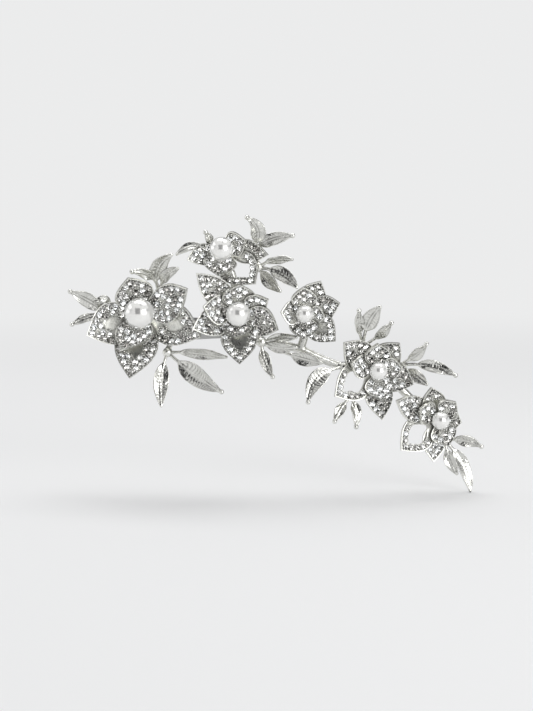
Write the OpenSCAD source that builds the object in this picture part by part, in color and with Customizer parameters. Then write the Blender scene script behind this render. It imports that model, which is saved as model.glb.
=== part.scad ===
// Rhinestone spray for the hair: six flowers with pearl centres and pave-set petals,
// twelve sprigs of cast leaves, one bent back frame and a sprung clip behind them.
// X runs along the spray, Z is up, the flowers face -Y and the head is on the +Y side.
// The origin is the middle of the clip's mouth, on the gripping face of the fixed blade.

/* [Pearls] */
// Diameter of the pearl in the largest flower
large_pearl_d = 10; // [9:0.5:11]
// Diameter of the pearls in the top and the middle flower
medium_pearl_d = 8; // [7:0.5:9]
// Diameter of the pearls in the three flowers towards the tail
small_pearl_d = 6; // [5.5:0.5:7]
// Diameter of the peg that a pearl is glued on
peg_d = 1.2; // [0.8:0.1:1.6]
// Height of the peg above the seat of the pearl
peg_h = 2.2; // [1.5:0.1:2.6]
// Clearance between a pearl and its peg or seat, filled with glue
glue_gap = 0.04; // [0.02:0.01:0.1]

/* [Rhinestones] */
// Diameter of a stone at its girdle
stone_d = 2; // [1.7:0.1:2.2]
// Height of a stone from its flat back to its table
stone_h = 1.1; // [0.8:0.05:1.3]
// Height of the straight girdle of a stone
girdle_h = 0.45; // [0.3:0.05:0.6]
// Depth of a seat below the bed of the petal
seat_depth = 0.4; // [0.2:0.05:0.5]
// Metal left between two neighbouring stones
stone_space = 0.08; // [0.06:0.02:0.4]
// Clearance around a stone in its seat
seat_gap = 0.03; // [0.01:0.01:0.06]

/* [Petals] */
// Thickness of a petal from its bed to its back
petal_t = 1; // [0.8:0.05:1.2]
// Width of the raised rim around a petal
rim_w = 0.3; // [0.3:0.05:0.6]
// Height of the raised rim above the bed
rim_h = 0.3; // [0.15:0.05:0.4]
// Depth of the smooth hollow inside a stone-edged petal
hollow_depth = 0.4; // [0.2:0.05:0.5]
// Radius of the cup of the inner petals
inner_cup_r = 28; // [24:1:36]
// Radius of the cup of the outer petals
outer_cup_r = 46; // [40:1:56]
// Angle at which the inner petals leave their hub
inner_slope = 8; // [6:0.5:10]
// Angle at which the outer petals leave their hub
outer_slope = 2; // [0:0.5:4]
// Angle by which each inner petal turns to lap over the next
inner_roll = 7; // [5:0.5:9]
// Angle by which each outer petal turns to lap over the next
outer_roll = 5; // [3:0.5:6]
// Width over the flats of the hub that joins a ring of petals
hub_d = 5; // [4.5:0.5:6]
// Thickness of one hub
hub_t = 1.3; // [1.1:0.1:1.6]
// Extra height of the inner hub, which lifts the inner petals clear of the outer ones
inner_rise = 0.5; // [0.4:0.1:1]

/* [Leaves] */
// Thickness of a leaf at its midrib
leaf_t = 0.9; // [0.7:0.05:1.1]
// Diameter of the stalk of a leaf
stalk_d = 1.1; // [0.9:0.05:1.3]
// Diameter of the bead at the tip of a leaf
tip_bead_d = 1.7; // [1.3:0.1:2]
// Height of the ribs across a leaf
vein_h = 0.16; // [0.05:0.01:0.25]
// Diameter of the tab that joins the leaves of a sprig
tab_d = 3.4; // [3:0.1:4]
// Thickness of the tab
tab_t = 0.8; // [0.6:0.1:1]

/* [Back frame] */
// Width of the stem
stem_w = 2.8; // [2.2:0.1:3.2]
// Thickness of the stem
stem_t = 2; // [1.7:0.1:2.4]
// Width of a side arm
arm_w = 2; // [1.6:0.1:2.4]
// Thickness of a side arm
arm_t = 1.2; // [0.9:0.1:1.5]
// Diameter of the pads under the flowers
flower_pad_d = 5; // [4:0.5:6]
// Radius by which the tail bends back round the head
bend_r = 250; // [200:10:400]
// Gap left by the solder between two seated faces
solder_gap = 0.02; // [0.01:0.01:0.05]

/* [Clip] */
// Distance from the pivot to the tip of the jaws
jaw_reach = 35; // [30:1:40]
// Distance from the pivot to the end of the thumb levers
lever_reach = 15; // [12:1:17]
// Width of the blades at the pivot
blade_w = 7.5; // [7:0.5:9]
// Width of the blades at the tip
tip_w = 4.5; // [4:0.5:6]
// Thickness of the spring steel sheet
sheet_t = 0.8; // [0.6:0.1:1]
// Height of the hair space under the arched jaw
mouth_h = 5; // [4.5:0.1:6]
// Diameter of the hinge pin
pin_d = 2; // [1.6:0.1:2.4]
// Height of the pin above the gripping face
pin_h = 3; // [2.8:0.1:3.4]
// Running gap at the hinge
hinge_gap = 0.25; // [0.2:0.05:0.35]
// Gap left between the closed jaw and the fixed blade
bite_gap = 0.2; // [0.1:0.05:0.3]
// Angle of the thumb lever of the jaw at rest
lever_angle = 30; // [26:1:34]
// Diameter of the spring wire
wire_d = 0.7; // [0.5:0.05:0.8]
// Whole turns in the coil
coil_turns = 3; // [2:1:3]

/* [Hidden] */
$fn = 32;

silver = [0.80, 0.81, 0.83];
bright = [0.90, 0.91, 0.93];
crystal = [0.86, 0.92, 0.98];
ivory = [0.97, 0.96, 0.93];
steel = [0.66, 0.67, 0.70];

// ---- levels above the back of the frame, measured towards the viewer ----
pad_rise = 0.3;
stem_seat = stem_t + pad_rise;
tab_seat = arm_t;

// ---- petal styles: how many rows of stones, and what lies inside them ----
FULL = 9;
SOLID = 0;
HOLLOW = 1;
OPEN = 2;

// A petal is [direction, reach, breadth, lean of the tip, rows of stones, inside].
// A flower is [x, z, pearl, height above the frame, inner petals, outer petals].
flower_a = [-23.5, 6.5, large_pearl_d, 0,
    [[108, 12, 14.5, 0, FULL, SOLID],
     [10, 17.5, 14, 5.5, FULL, SOLID],
     [260, 13, 13.5, -4, FULL, SOLID]],
    [[203, 19.3, 16, 0, 2, HOLLOW],
     [263, 22, 16, -1, 2, HOLLOW],
     [338, 21.5, 16, 0, 2, HOLLOW]]];
flower_b = [3.5, 27.5, medium_pearl_d, 0,
    [[262, 9, 12.5, 0, FULL, SOLID],
     [20, 8.2, 9.5, 0, FULL, SOLID]],
    [[198, 12.2, 8, 0, FULL, SOLID],
     [352, 15.4, 9, 0, FULL, SOLID],
     [306, 16, 14.5, 2, 1, OPEN]]];
flower_c = [9, 6.5, medium_pearl_d, 3.8,
    [[168, 11.6, 11, 0, FULL, SOLID],
     [88, 9.6, 12.5, 0, FULL, SOLID],
     [25, 10.8, 8.5, 0, FULL, SOLID],
     [338, 13.8, 11.5, 0, FULL, SOLID],
     [262, 8, 11.5, 0, FULL, SOLID]],
    [[199, 16, 11, 0, FULL, SOLID],
     [271, 16.8, 13.5, 0, 1, HOLLOW],
     [136, 19, 10, 0, FULL, SOLID]]];
flower_d = [30.5, 6, small_pearl_d, 0,
    [[92, 8.8, 9.5, 0, FULL, SOLID],
     [176, 7.8, 9, 0, FULL, SOLID],
     [268, 8.4, 11, 0, FULL, SOLID],
     [350, 6.8, 7.5, 0, FULL, SOLID]],
    [[6, 12.2, 10.5, 2, FULL, SOLID],
     [318, 14, 11, 0, 1, HOLLOW],
     [62, 12, 10, 0, FULL, SOLID]]];
flower_e = [54, -13, small_pearl_d, 1.5,
    [[90, 9, 10, 0, FULL, SOLID],
     [278, 10, 11, 0, FULL, SOLID],
     [164, 9.4, 9.2, 0, FULL, SOLID],
     [5, 8.5, 8.5, 0, FULL, SOLID]],
    [[140, 14.6, 11.5, 0, FULL, SOLID],
     [48, 11.8, 10.5, 0, FULL, SOLID],
     [338, 13.6, 11.5, 0, FULL, SOLID],
     [207, 16.6, 13.5, 1, 1, OPEN],
     [276, 16.8, 10.5, 0, FULL, SOLID]]];
flower_f = [75, -30.5, small_pearl_d, 0,
    [[150, 8, 9, 0, FULL, SOLID],
     [45, 8.2, 9.5, 0, FULL, SOLID],
     [290, 9.5, 10, 0, FULL, SOLID]],
    [[101, 11, 9.5, 0, FULL, SOLID],
     [155, 16.5, 10, 0, FULL, SOLID],
     [350, 9, 10, 0, FULL, SOLID],
     [217, 16.5, 13, 0, 1, OPEN],
     [264, 14.6, 9, 0, FULL, SOLID]]];

// ---- how the spray bends back towards its tail ----
bend_start = 20;
function bend_y(x) = x > bend_start ? pow(x - bend_start, 2) / (2 * bend_r) : 0;
function bend_angle(x) = x > bend_start ? atan((x - bend_start) / bend_r) : 0;

// Stands its children on the back of the frame at (x, z): their X and Y stay in the plane
// of the spray and their Z points at the viewer.
module at_spray(x, z) {
    translate([x, bend_y(x) - sheet_t - solder_gap, z])
        rotate([0, 0, bend_angle(x)])
            rotate([90, 0, 0])
                children();
}

// ---- outline of a petal: it swells from the hub to full breadth, then comes to a point ----
swell_share = 0.55;
point_share = 0.38;
corner_power = 3.5;
function half_breadth(q, w) = let(
    swell = pow(sin(90 * min(1, q / swell_share)), 0.8),
    point = (1 - q) / point_share)
    min(swell, point) <= 0 ? 0
    : w / 2 * pow(pow(swell, -corner_power) + pow(point, -corner_power), -1 / corner_power);
function margin(q, side, l, w, lean) = [q * l, side * half_breadth(q, w) + lean * q * q];
outline_steps = 16;
function outline(l, w, lean, n = outline_steps) = concat(
    [for (i = [0 : n]) margin((1 - cos(180 * i / n)) / 2, -1, l, w, lean)],
    [for (i = [n - 1 : -1 : 1]) margin((1 - cos(180 * i / n)) / 2, 1, l, w, lean)]);

// ---- distance from a point to a closed outline ----
function segment_distance(p, a, b) = let(
    ab = b - a,
    k = min(1, max(0, (p - a) * ab / (ab * ab))))
    norm(p - a - k * ab);
function edge_distance(p, pts) = min([for (i = [0 : len(pts) - 1])
    segment_distance(p, pts[i], pts[(i + 1) % len(pts)])]);

// ---- stones in rows that follow the margin of a petal, then in what room is left ----
stone_pitch = stone_d + stone_space;
first_row = rim_w + stone_space + stone_d / 2;
march_steps = 120;
fill_step = 0.25;
fine_steps = 20;
row_nesting = 0.92;
function row_inset(row) = first_row + row * row_nesting * stone_pitch;
// a point of the margin, moved inwards by d
function inset_point(q, side, l, w, lean, d) = let(
    e = 0.004,
    t = margin(min(1, q + e), side, l, w, lean) - margin(max(0, q - e), side, l, w, lean),
    inward = side * [t.y, -t.x] / norm(t))
    margin(q, side, l, w, lean) + d * inward;
function centre_line(s, l, lean) = lean * (s / l) * (s / l);
// the tip of a row is the first place down the centre line that is far enough in
function row_tip(s, l, lean, d, pts) = let(p = [s, centre_line(s, l, lean)])
    s < stone_pitch ? [] : edge_distance(p, pts) >= d ? [p] : row_tip(s - 0.05, l, lean, d, pts);
// places for one row: its tip, then back along both sides
function row_places(l, w, lean, d, pts) = concat(
    row_tip(l, l, lean, d, pts),
    [for (side = [1, -1], i = [march_steps : -1 : 2])
        inset_point(i / march_steps, side, l, w, lean, d)]);
function fill_places(l, w, lean) = [for (s = [l : -fill_step : 1], t = [-w : fill_step : w])
    [s, t]];
function inside_row(places, d, pts) = [for (p = places)
    if (p.x > 0 && within(p, pts) && edge_distance(p, pts) >= d) p];
function within(p, pts) = len([for (i = [0 : len(pts) - 1]) let(
    a = pts[i],
    b = pts[(i + 1) % len(pts)])
    if ((a.y > p.y) != (b.y > p.y)
        && p.x < a.x + (p.y - a.y) * (b.x - a.x) / (b.y - a.y)) i]) % 2 == 1;
// keeps the places that lie a full pitch from all those kept before them
function spaced(places, i, kept) =
    i >= len(places) ? kept
    : spaced(places, i + 1,
        len([for (k = kept) if (norm(k - places[i]) < stone_pitch) k]) > 0 ? kept
        : concat(kept, [places[i]]));
function petal_stones(l, w, lean, rows) = let(
    pts = outline(l, w, lean, fine_steps),
    room = max([for (s = [1 : 0.5 : l - 1]) edge_distance([s, centre_line(s, l, lean)], pts)]),
    last = min(rows - 1, floor((room - first_row) / stone_pitch)),
    in_rows = [for (row = [0 : 1 : last])
        each inside_row(row_places(l, w, lean, row_inset(row), pts), row_inset(row) - 0.05, pts)],
    in_room = rows < FULL ? [] : inside_row(fill_places(l, w, lean), first_row, pts))
    spaced(concat(in_rows, in_room), 0, []);

// ---- levels in a flower, from its pad ----
outer_bed = hub_t;
inner_hub = hub_t + solder_gap;
inner_bed = inner_hub + hub_t + inner_rise;
pearl_seat_depth = 0.5;
collar_d = 4;
peg_base = 0.6;
function pearl_z(d) = inner_bed + peg_base - pearl_seat_depth + d / 2;

// ---- a ring of petals is [slope at the hub, roll, radius of the cup, level of the bed] ----
INNER = [inner_slope, inner_roll, inner_cup_r, inner_bed];
OUTER = [outer_slope, outer_roll, outer_cup_r, outer_bed];
petal_foot = 1;
function lift(petal, ring) = ring[0] + asin((petal[1] - petal_foot) / 2 / ring[2]);
function chord(petal, ring) = (petal[1] - petal_foot) / cos(lift(petal, ring));
function cup_centre(l, cup_r) = sqrt(cup_r * cup_r - l * l / 4);
function cup_z(p, l, cup_r) =
    cup_centre(l, cup_r) - sqrt(cup_r * cup_r - pow(p.x - l / 2, 2) - p.y * p.y);
// plan position, in the flower, of a point (s, t) on the bed of a petal
function in_plan(p, petal, ring) = let(
    a = petal[0],
    up = lift(petal, ring),
    z = cup_z(p, chord(petal, ring), ring[2]),
    y = p.y * cos(ring[1]) - z * sin(ring[1]),
    r = petal_foot + p.x * cos(up) - (p.y * sin(ring[1]) + z * cos(ring[1])) * sin(up))
    [r * cos(a) - y * sin(a), r * sin(a) + y * cos(a)];
// does a petal reach over the plan position p, or nearer to it than a gap?
function covers(petal, ring, p, gap) = let(
    a = petal[0],
    up = lift(petal, ring),
    l = chord(petal, ring),
    s = (p.x * cos(a) + p.y * sin(a) - petal_foot) / cos(up),
    t = (p.y * cos(a) - p.x * sin(a)) / cos(ring[1]),
    q = s / l)
    q > 0 && q < 1 + gap / l
        && abs(t - petal[3] * q * q) < half_breadth(min(q, 1), petal[2]) + gap;
lap_clear = 0.1;
// the petals that lap over petal i are those within half a turn clockwise of it
function over(petals, i) = [for (other = petals)
    let(turn = (petals[i][0] - other[0] + 360) % 360) if (turn > 0 && turn < 180) other];
function is_covered(petals, ring, p, gap) =
    len([for (petal = petals) if (covers(petal, ring, p, gap)) 1]) > 0;
// stones of petal i, kept clear of the pearl, of the petal that laps it and of those above
function set_stones(petals, i, ring, above, inner_r) = let(
    petal = petals[i],
    laps = over(petals, i))
    [for (p = petal_stones(chord(petal, ring), petal[2], petal[3], petal[4]))
        let(plan = in_plan(p, petal, ring))
        if (norm(plan) > inner_r
            && !is_covered(laps, ring, plan, stone_d / 2 + lap_clear)
            && !is_covered(above, INNER, plan, stone_d / 4)) p];

// moves its children onto the bed of the cup at (s, t), their Z towards its centre
module on_bed(p, l, cup_r) {
    b = asin(p.y / cup_r);
    a = asin((p.x - l / 2) / (cup_r * cos(b)));
    translate([l / 2, 0, cup_centre(l, cup_r)])
        rotate([0, -a, 0])
            rotate([b, 0, 0])
                translate([0, 0, -cup_r])
                    children();
}

// a column over the outline, moved in by d; reach is how far it goes up and down
module outline_column(l, w, lean, d, reach) {
    translate([0, 0, -reach])
        linear_extrude(height = 2 * reach)
            if (d > 0)
                offset(delta = -d) polygon(outline(l, w, lean));
            else
                polygon(outline(l, w, lean));
}

// a ball of the cup, fine enough to stay true at its size
module cup_ball(l, cup_r, extra) {
    translate([l / 2, 0, cup_centre(l, cup_r)])
        sphere(r = cup_r + extra, $fn = 96);
}

module petal_sheet(l, w, lean, rows, inside, cup_r) {
    reach = cup_r * 0.45;
    heart = row_inset(rows - 1) + stone_d / 2 + stone_space;
    difference() {
        intersection() {
            cup_ball(l, cup_r, petal_t);
            outline_column(l, w, lean, 0, reach);
        }
        cup_ball(l, cup_r, -rim_h);
        intersection() {
            cup_ball(l, cup_r, 0);
            outline_column(l, w, lean, rim_w, reach);
        }
        if (inside == HOLLOW)
            intersection() {
                cup_ball(l, cup_r, hollow_depth);
                outline_column(l, w, lean, heart, reach);
            }
        if (inside == OPEN)
            outline_column(l, w, lean, heart, reach);
    }
}

module seat() {
    translate([0, 0, -seat_depth])
        cylinder(d = stone_d + 2 * seat_gap, h = stone_h + rim_h);
}

module set_petal(petal, ring) {
    rotate([0, 0, petal[0]])
        translate([petal_foot, 0, ring[3]])
            rotate([0, -lift(petal, ring), 0])
                rotate([ring[1], 0, 0])
                    children();
}

module hub(h) {
    cylinder(d = hub_d, h = h, $fn = 12);
}

// how near the axis of a flower a stone can sit: clear of the hub, and of the pearl above it
pearl_share = 0.36;
pearl_clear = 0.8;
outer_limit = hub_d / 2 + stone_d / 2 + seat_gap;
function inner_limit(flower) = max(outer_limit, pearl_share * flower[2] + pearl_clear);

// puts its children at each place of a stone, on the beds of all the petals of a ring
module at_stones(petals, ring, above, limit) {
    for (i = [0 : len(petals) - 1])
        set_petal(petals[i], ring)
            for (p = set_stones(petals, i, ring, above, limit))
                on_bed(p, chord(petals[i], ring), ring[2])
                    children();
}

module petal_ring(petals, ring, above, limit) {
    difference() {
        for (p = petals)
            set_petal(p, ring)
                petal_sheet(chord(p, ring), p[2], p[3], p[4], p[5], ring[2]);
        at_stones(petals, ring, above, limit) seat();
    }
}

// the outer petals are spot-faced for the hub of the inner ring
module outer_ring(flower) {
    difference() {
        petal_ring(flower[5], OUTER, flower[4], outer_limit);
        translate([0, 0, hub_t]) cylinder(d = hub_d + 2 * seat_gap, h = hub_d);
    }
    hub(hub_t);
}

module inner_ring(flower) {
    difference() {
        union() {
            translate([0, 0, inner_hub]) hub(hub_t + inner_rise);
            translate([0, 0, inner_hub]) cylinder(d = collar_d, h = hub_t + inner_rise + peg_base);
            petal_ring(flower[4], INNER, [], inner_limit(flower));
        }
        translate([0, 0, pearl_z(flower[2])]) sphere(d = flower[2] + 2 * glue_gap);
    }
    translate([0, 0, inner_hub])
        cylinder(d = peg_d, h = inner_bed - inner_hub + peg_base - pearl_seat_depth + peg_h);
}

// a flat-backed brilliant: its girdle stands in the seat, its crown narrows to the table
module stone() {
    table_r = stone_d * 0.28;
    translate([0, 0, seat_gap - seat_depth])
        rotate_extrude()
            polygon([[0, 0], [stone_d / 2, 0], [stone_d / 2, girdle_h], [table_r, stone_h],
                [0, stone_h]]);
}

module on_pad(flower) {
    at_spray(flower[0], flower[1])
        translate([0, 0, stem_seat + flower[3] + solder_gap])
            children();
}

module outer_petals(flower) {
    color(silver) on_pad(flower) outer_ring(flower);
}

module inner_petals(flower) {
    color(bright) on_pad(flower) inner_ring(flower);
}

module stones(flower) {
    color(crystal) on_pad(flower) {
        at_stones(flower[5], OUTER, flower[4], outer_limit) stone();
        at_stones(flower[4], INNER, [], inner_limit(flower)) stone();
    }
}

module pearl(flower) {
    d = flower[2];
    bore_h = peg_h + 2 * glue_gap;
    color(ivory) on_pad(flower)
        translate([0, 0, pearl_z(d)])
            difference() {
                sphere(d = d);
                translate([0, 0, -d / 2 - 1])
                    cylinder(d = peg_d + 2 * glue_gap, h = bore_h + 1);
            }
}

// ---- leaves ----
// A leaf is [x, y of its tip from the tab, bow, rise, breadth, share of stalk, roll, bead].
leaf_rings = 14;
neck_r = 0.45;
stalk_clear = 0.12;
fold = 0.34;
function leaf_spot(u, leaf) = let(
    to = [leaf[0], leaf[1]],
    across = [-to.y, to.x] / norm(to),
    p = to * u + across * leaf[2] * 4 * u * (1 - u))
    [p.x, p.y, stalk_d / 2 + stalk_clear + leaf[3] * pow(u, 1.4)];
function leaf_heading(u, leaf) = let(
    d = leaf_spot(u + 0.01, leaf) - leaf_spot(u - 0.01, leaf)) d / norm(d);
function blade_share(u, leaf) = u <= leaf[5] ? 0 : (u - leaf[5]) / (1 - leaf[5]);
// the blade widens fast from the stalk and draws out into a long neck
function blade_swell(v) = 4.4 * pow(v, 0.9) * pow(1 - v, 1.25);
function leaf_half(u, leaf) = let(v = blade_share(u, leaf), root = stalk_d / 2)
    root + (neck_r - root) * v + (leaf[4] / 2 - neck_r) * min(1, blade_swell(v));
function leaf_ring(i, leaf) = let(
    u = 0.02 + 0.98 * i / (leaf_rings - 1),
    spot = leaf_spot(u, leaf),
    t = leaf_heading(u, leaf),
    flat_side = cross([0, 0, 1], t) / norm(cross([0, 0, 1], t)),
    flat_up = cross(t, flat_side),
    roll = leaf[6] * min(1, 2 * u),
    side = flat_side * cos(roll) + flat_up * sin(roll),
    up = flat_up * cos(roll) - flat_side * sin(roll),
    h = leaf_half(u, leaf),
    slim = u < leaf[5] ? stalk_d : leaf_t,
    raise = fold * max(0, h - stalk_d / 2),
    rib = blade_share(u, leaf) > 0 && blade_share(u, leaf) < 1 ? vein_h * (i % 2) : 0,
    section = [[-1, raise], [-0.6, 0.6 * raise + 0.42 * slim + rib], [0, 0.5 * slim],
        [0.6, 0.6 * raise + 0.42 * slim + rib], [1, raise],
        [0.6, 0.6 * raise - 0.42 * slim], [0, -0.5 * slim], [-0.6, 0.6 * raise - 0.42 * slim]])
    [for (c = section) spot + side * h * c[0] + up * c[1]];

// skins rings of n points into a closed solid
function skin_faces(rings, n) = concat(
    [[for (k = [n - 1 : -1 : 0]) k]],
    [for (i = [0 : rings - 2], k = [0 : n - 1]) let(a = i * n + k, b = i * n + (k + 1) % n)
        each [[a, b, a + n], [b, b + n, a + n]]],
    [[for (k = [0 : n - 1]) (rings - 1) * n + k]]);

module leaf_blade(leaf) {
    polyhedron(
        points = [for (i = [0 : leaf_rings - 1]) each leaf_ring(i, leaf)],
        faces = skin_faces(leaf_rings, 8));
    if (leaf[7] > 0)
        translate(leaf_spot(1, leaf)) sphere(d = tip_bead_d);
}

// A sprig is [x, z of its tab, level of its seat, leaves].
sprig_far_left = [-34.5, 5.5, tab_seat,
    [[-12.3, 7.7, -0.6, 3, 5.2, 0.2, -12, 1],
     [-5, 3.8, -3, 1.8, 3.2, 0.3, 20, 0],
     [-12, -3.3, -0.6, 2, 3, 0.3, 25, 1]]];
sprig_upper_left = [-17.5, 12.5, tab_seat,
    [[-8.7, 7.3, -2.6, 4, 3.6, 0.4, -15, 1],
     [5, 13.3, 3.2, 5, 5.4, 0.25, 12, 0],
     [7, 8.7, 1.6, 6, 3.8, 0.3, -25, 0]]];
sprig_top_left = [-1, 27, tab_seat,
    [[-1, 5.7, -0.8, 1.2, 2.8, 0.3, 20, 1],
     [-11, -2, -1.8, 0.5, 3.2, 0.15, 40, 0]]];
sprig_top = [13.5, 27, tab_seat,
    [[-1.7, 10.7, -2.6, 5, 5.2, 0.2, 20, 1],
     [13.3, 4.7, 0.8, 4, 4.6, 0.2, -22, 1]]];
sprig_top_right = [15.5, 21, tab_seat,
    [[11.7, 2.7, 1.4, 3, 3.2, 0.25, 38, 0],
     [13, -6.7, 1.6, 4, 4.8, 0.25, -15, 0],
     [7.7, -8, -0.4, 3, 4.4, 0.15, 25, 0]]];
sprig_upper_tail = [50.5, -5.5, tab_seat,
    [[-2.3, 12.3, 0.6, 4, 3.4, 0.35, 18, 1],
     [5, 14, 1.4, 5, 5.6, 0.35, -10, 0],
     [8.7, 8, -0.6, 4, 3.6, 0.4, 15, 1]]];
sprig_right_tail = [62, -12.5, tab_seat,
    [[9, 7.7, -0.8, 4, 4, 0.35, 15, 1],
     [19, -3, 1.8, 5, 4.2, 0.35, -12, 1],
     [9.7, -6.3, 0.6, 4, 4.2, 0.3, 10, 0]]];
sprig_tail_end = [78.5, -38.5, stem_seat,
    [[12, -2, 1.2, 3, 4, 0.25, 12, 1],
     [8.3, -17.7, 1.8, 3, 4.6, 0.2, -10, 0],
     [4, -11.7, -0.8, 2, 3.8, 0.25, 22, 0]]];
sprig_lower_left = [-15, -7.5, tab_seat,
    [[-1.7, -17.7, -1.2, 6, 5.2, 0.2, -12, 0],
     [18.3, -12.3, -0.6, 7, 6.8, 0.22, 10, 1],
     [20.3, -1.3, 0.6, 3, 3.8, 0.22, 20, 0]]];
sprig_lower_middle = [16.5, -4, stem_seat,
    [[3.7, -11, -0.8, 4, 3.8, 0.2, -12, 1],
     [12, -1, -1, 4, 3.6, 0.15, 12, 0],
     [12, 2, 0.5, 2.6, 3.4, 0.15, -20, 0],
     [20.5, -6.5, -0.8, 3, 4.6, 0.5, 12, 0]]];
sprig_lower_right = [44, -12.5, stem_seat,
    [[-12.7, -11, -3.4, 4, 5.6, 0.25, 12, 1]]];
sprig_lower_tail = [46.5, -22.5, tab_seat,
    [[-6, -8, -0.5, 3, 3.4, 0.3, 15, 1],
     [1.3, -10, 0.8, 3, 3.6, 0.2, -15, 1]]];

module sprig(sprig) {
    color(bright)
        at_spray(sprig[0], sprig[1])
            translate([0, 0, sprig[2] + solder_gap]) {
                cylinder(d = tab_d, h = tab_t);
                for (leaf = sprig[3])
                    leaf_blade(leaf);
            }
}

// ---- back frame ----
// The stem runs through these (x, z) points.
stem_route = [[-31.5, 3], [-23.5, 5.5], [-14, 3], [-2.5, 1.5], [9, 3], [16.5, -3.5],
    [23.5, -5], [29.5, -6.5], [36, -9.5], [44, -12.5], [54, -13.5], [62.5, -19.5],
    [69.5, -26.5], [75, -30.5], [78.5, -38.5]];
steps_per_span = 4;
tail_taper = 0.75;
function smooth_point(p0, p1, p2, p3, k) = 0.5 * (2 * p1 + (p2 - p0) * k
    + (2 * p0 - 5 * p1 + 4 * p2 - p3) * k * k + (3 * p1 - p0 - 3 * p2 + p3) * k * k * k);
function route_point(pts, u) = let(
    n = len(pts) - 1,
    i = max(0, min(floor(u), n - 1)),
    p0 = i > 0 ? pts[i - 1] : 2 * pts[0] - pts[1],
    p3 = i < n - 1 ? pts[i + 2] : 2 * pts[n] - pts[n - 1])
    smooth_point(p0, pts[i], pts[i + 1], p3, u - i);
function on_back(p, depth) = let(a = bend_angle(p.x))
    [p.x + depth * sin(a), bend_y(p.x) - sheet_t - solder_gap - depth * cos(a), p.y];
function stem_ring(pts, u) = let(
    p = route_point(pts, u),
    d = route_point(pts, u + 0.02) - route_point(pts, u - 0.02),
    across = [-d.y, d.x] / norm(d),
    taper = u > len(pts) - 2 ? tail_taper : 1)
    [for (k = [0 : 7]) let(
        a = -22.5 - 45 * k,
        flat = 1 / cos(22.5))
        on_back(p + across * stem_w / 2 * taper * flat * cos(a),
            stem_t / 2 * (1 + flat * sin(a)))];
function stem_solid(pts) = let(n = (len(pts) - 1) * steps_per_span)
    [for (i = [0 : n]) each stem_ring(pts, i / steps_per_span)];

module stem(pts) {
    polyhedron(
        points = stem_solid(pts),
        faces = skin_faces((len(pts) - 1) * steps_per_span + 1, 8));
}

// arms and pads stand a little in front of the back face of the stem
arm_inset = 0.2;
pad_inset = 0.1;

// a flat arm from the pad at p to the point q, both in the plane of the spray
module arm(p, q) {
    d = q - p;
    at_spray(p.x, p.y)
        rotate([0, 0, atan2(d.y, d.x)])
            translate([0, -arm_w / 2, arm_inset])
                cube([norm(d), arm_w, arm_t - 2 * arm_inset]);
}

module pad(x, z, d, top) {
    at_spray(x, z)
        translate([0, 0, pad_inset])
            cylinder(d = d, h = top - pad_inset);
}

// the arm to the lower tail sprig turns this corner to pass round an open petal
elbow = [54.5, -22.5];
// where the arm of each sprig starts
arm_feet = [
    [sprig_far_left, [-28, 4.5]],
    [sprig_upper_left, [-19, 4.5]],
    [sprig_top_left, [3.5, 27.5]],
    [sprig_top, [3.5, 27.5]],
    [sprig_top_right, [13.5, 27]],
    [sprig_upper_tail, [51.5, -13.5]],
    [sprig_right_tail, [58, -15.5]],
    [sprig_lower_left, [-12, 2.5]],
    [sprig_lower_tail, elbow]];
branch_route = [[9, 3], [8.5, 11], [6.5, 19], [3.5, 27.5]];
middle_route = [[29.5, -6.5], [31, -1], [30.5, 6]];

module back_frame() {
    color(silver) {
        stem(stem_route);
        stem(branch_route);
        stem(middle_route);
        for (foot = arm_feet)
            arm([foot[0][0], foot[0][1]], foot[1]);
        arm(elbow, [54, -13.5]);
        pad(elbow.x, elbow.y, arm_w * 1.2, arm_t);
        for (flower = [flower_a, flower_b, flower_c, flower_d, flower_e, flower_f])
            pad(flower[0], flower[1], flower_pad_d, stem_seat + flower[3]);
        for (sprig = [sprig_far_left, sprig_upper_left, sprig_top_left, sprig_top,
            sprig_top_right, sprig_upper_tail, sprig_right_tail, sprig_tail_end,
            sprig_lower_left, sprig_lower_middle, sprig_lower_right, sprig_lower_tail])
            pad(sprig[0], sprig[1], tab_d, sprig[2]);
    }
}

// ---- clip ----
mouth_share = 0.5;
pivot_x = -jaw_reach * mouth_share - 0.5;
tip_x = pivot_x + jaw_reach;
tail_x = pivot_x - lever_reach;
ear_r = pin_d / 2 + 0.9;
ear_foot = 4.8;
strip_y = pin_h + ear_r + 0.35;
jaw_ear_z = blade_w / 2 - sheet_t - hinge_gap;

// plan of a blade, X along the clip and Y across it
module blade_plan(w, tip) {
    translate([tail_x + w / 2, 0]) circle(d = w);
    polygon([[tail_x + w / 2, w / 2], [pivot_x + 4, w / 2], [tip_x - tip / 2, tip / 2],
        [tip_x - tip / 2, -tip / 2], [pivot_x + 4, -w / 2], [tail_x + w / 2, -w / 2]]);
    translate([tip_x - tip / 2, 0]) circle(d = tip);
}

// an ear in side view: a round eye at the pin on a foot that reaches to y
module ear_side(y, hole) {
    difference() {
        union() {
            translate([pivot_x, pin_h]) circle(r = ear_r);
            polygon([[pivot_x - ear_foot / 2, y], [pivot_x + ear_foot / 2, y],
                [pivot_x + ear_r, pin_h], [pivot_x - ear_r, pin_h]]);
        }
        translate([pivot_x, pin_h]) circle(d = hole);
    }
}

// two plates along Z, mirrored about the middle of the clip, outer faces at z
module ear_pair(z, y, hole) {
    for (side = [-1, 1])
        translate([0, 0, side * (z - sheet_t / 2) - sheet_t / 2])
            linear_extrude(height = sheet_t)
                ear_side(y, hole);
}

module clip_fixed_blade() {
    color(steel) {
        rotate([90, 0, 0])
            linear_extrude(height = sheet_t)
                blade_plan(blade_w, tip_w);
        ear_pair(blade_w / 2, -sheet_t / 2, pin_d + 2 * solder_gap);
    }
}

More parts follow.
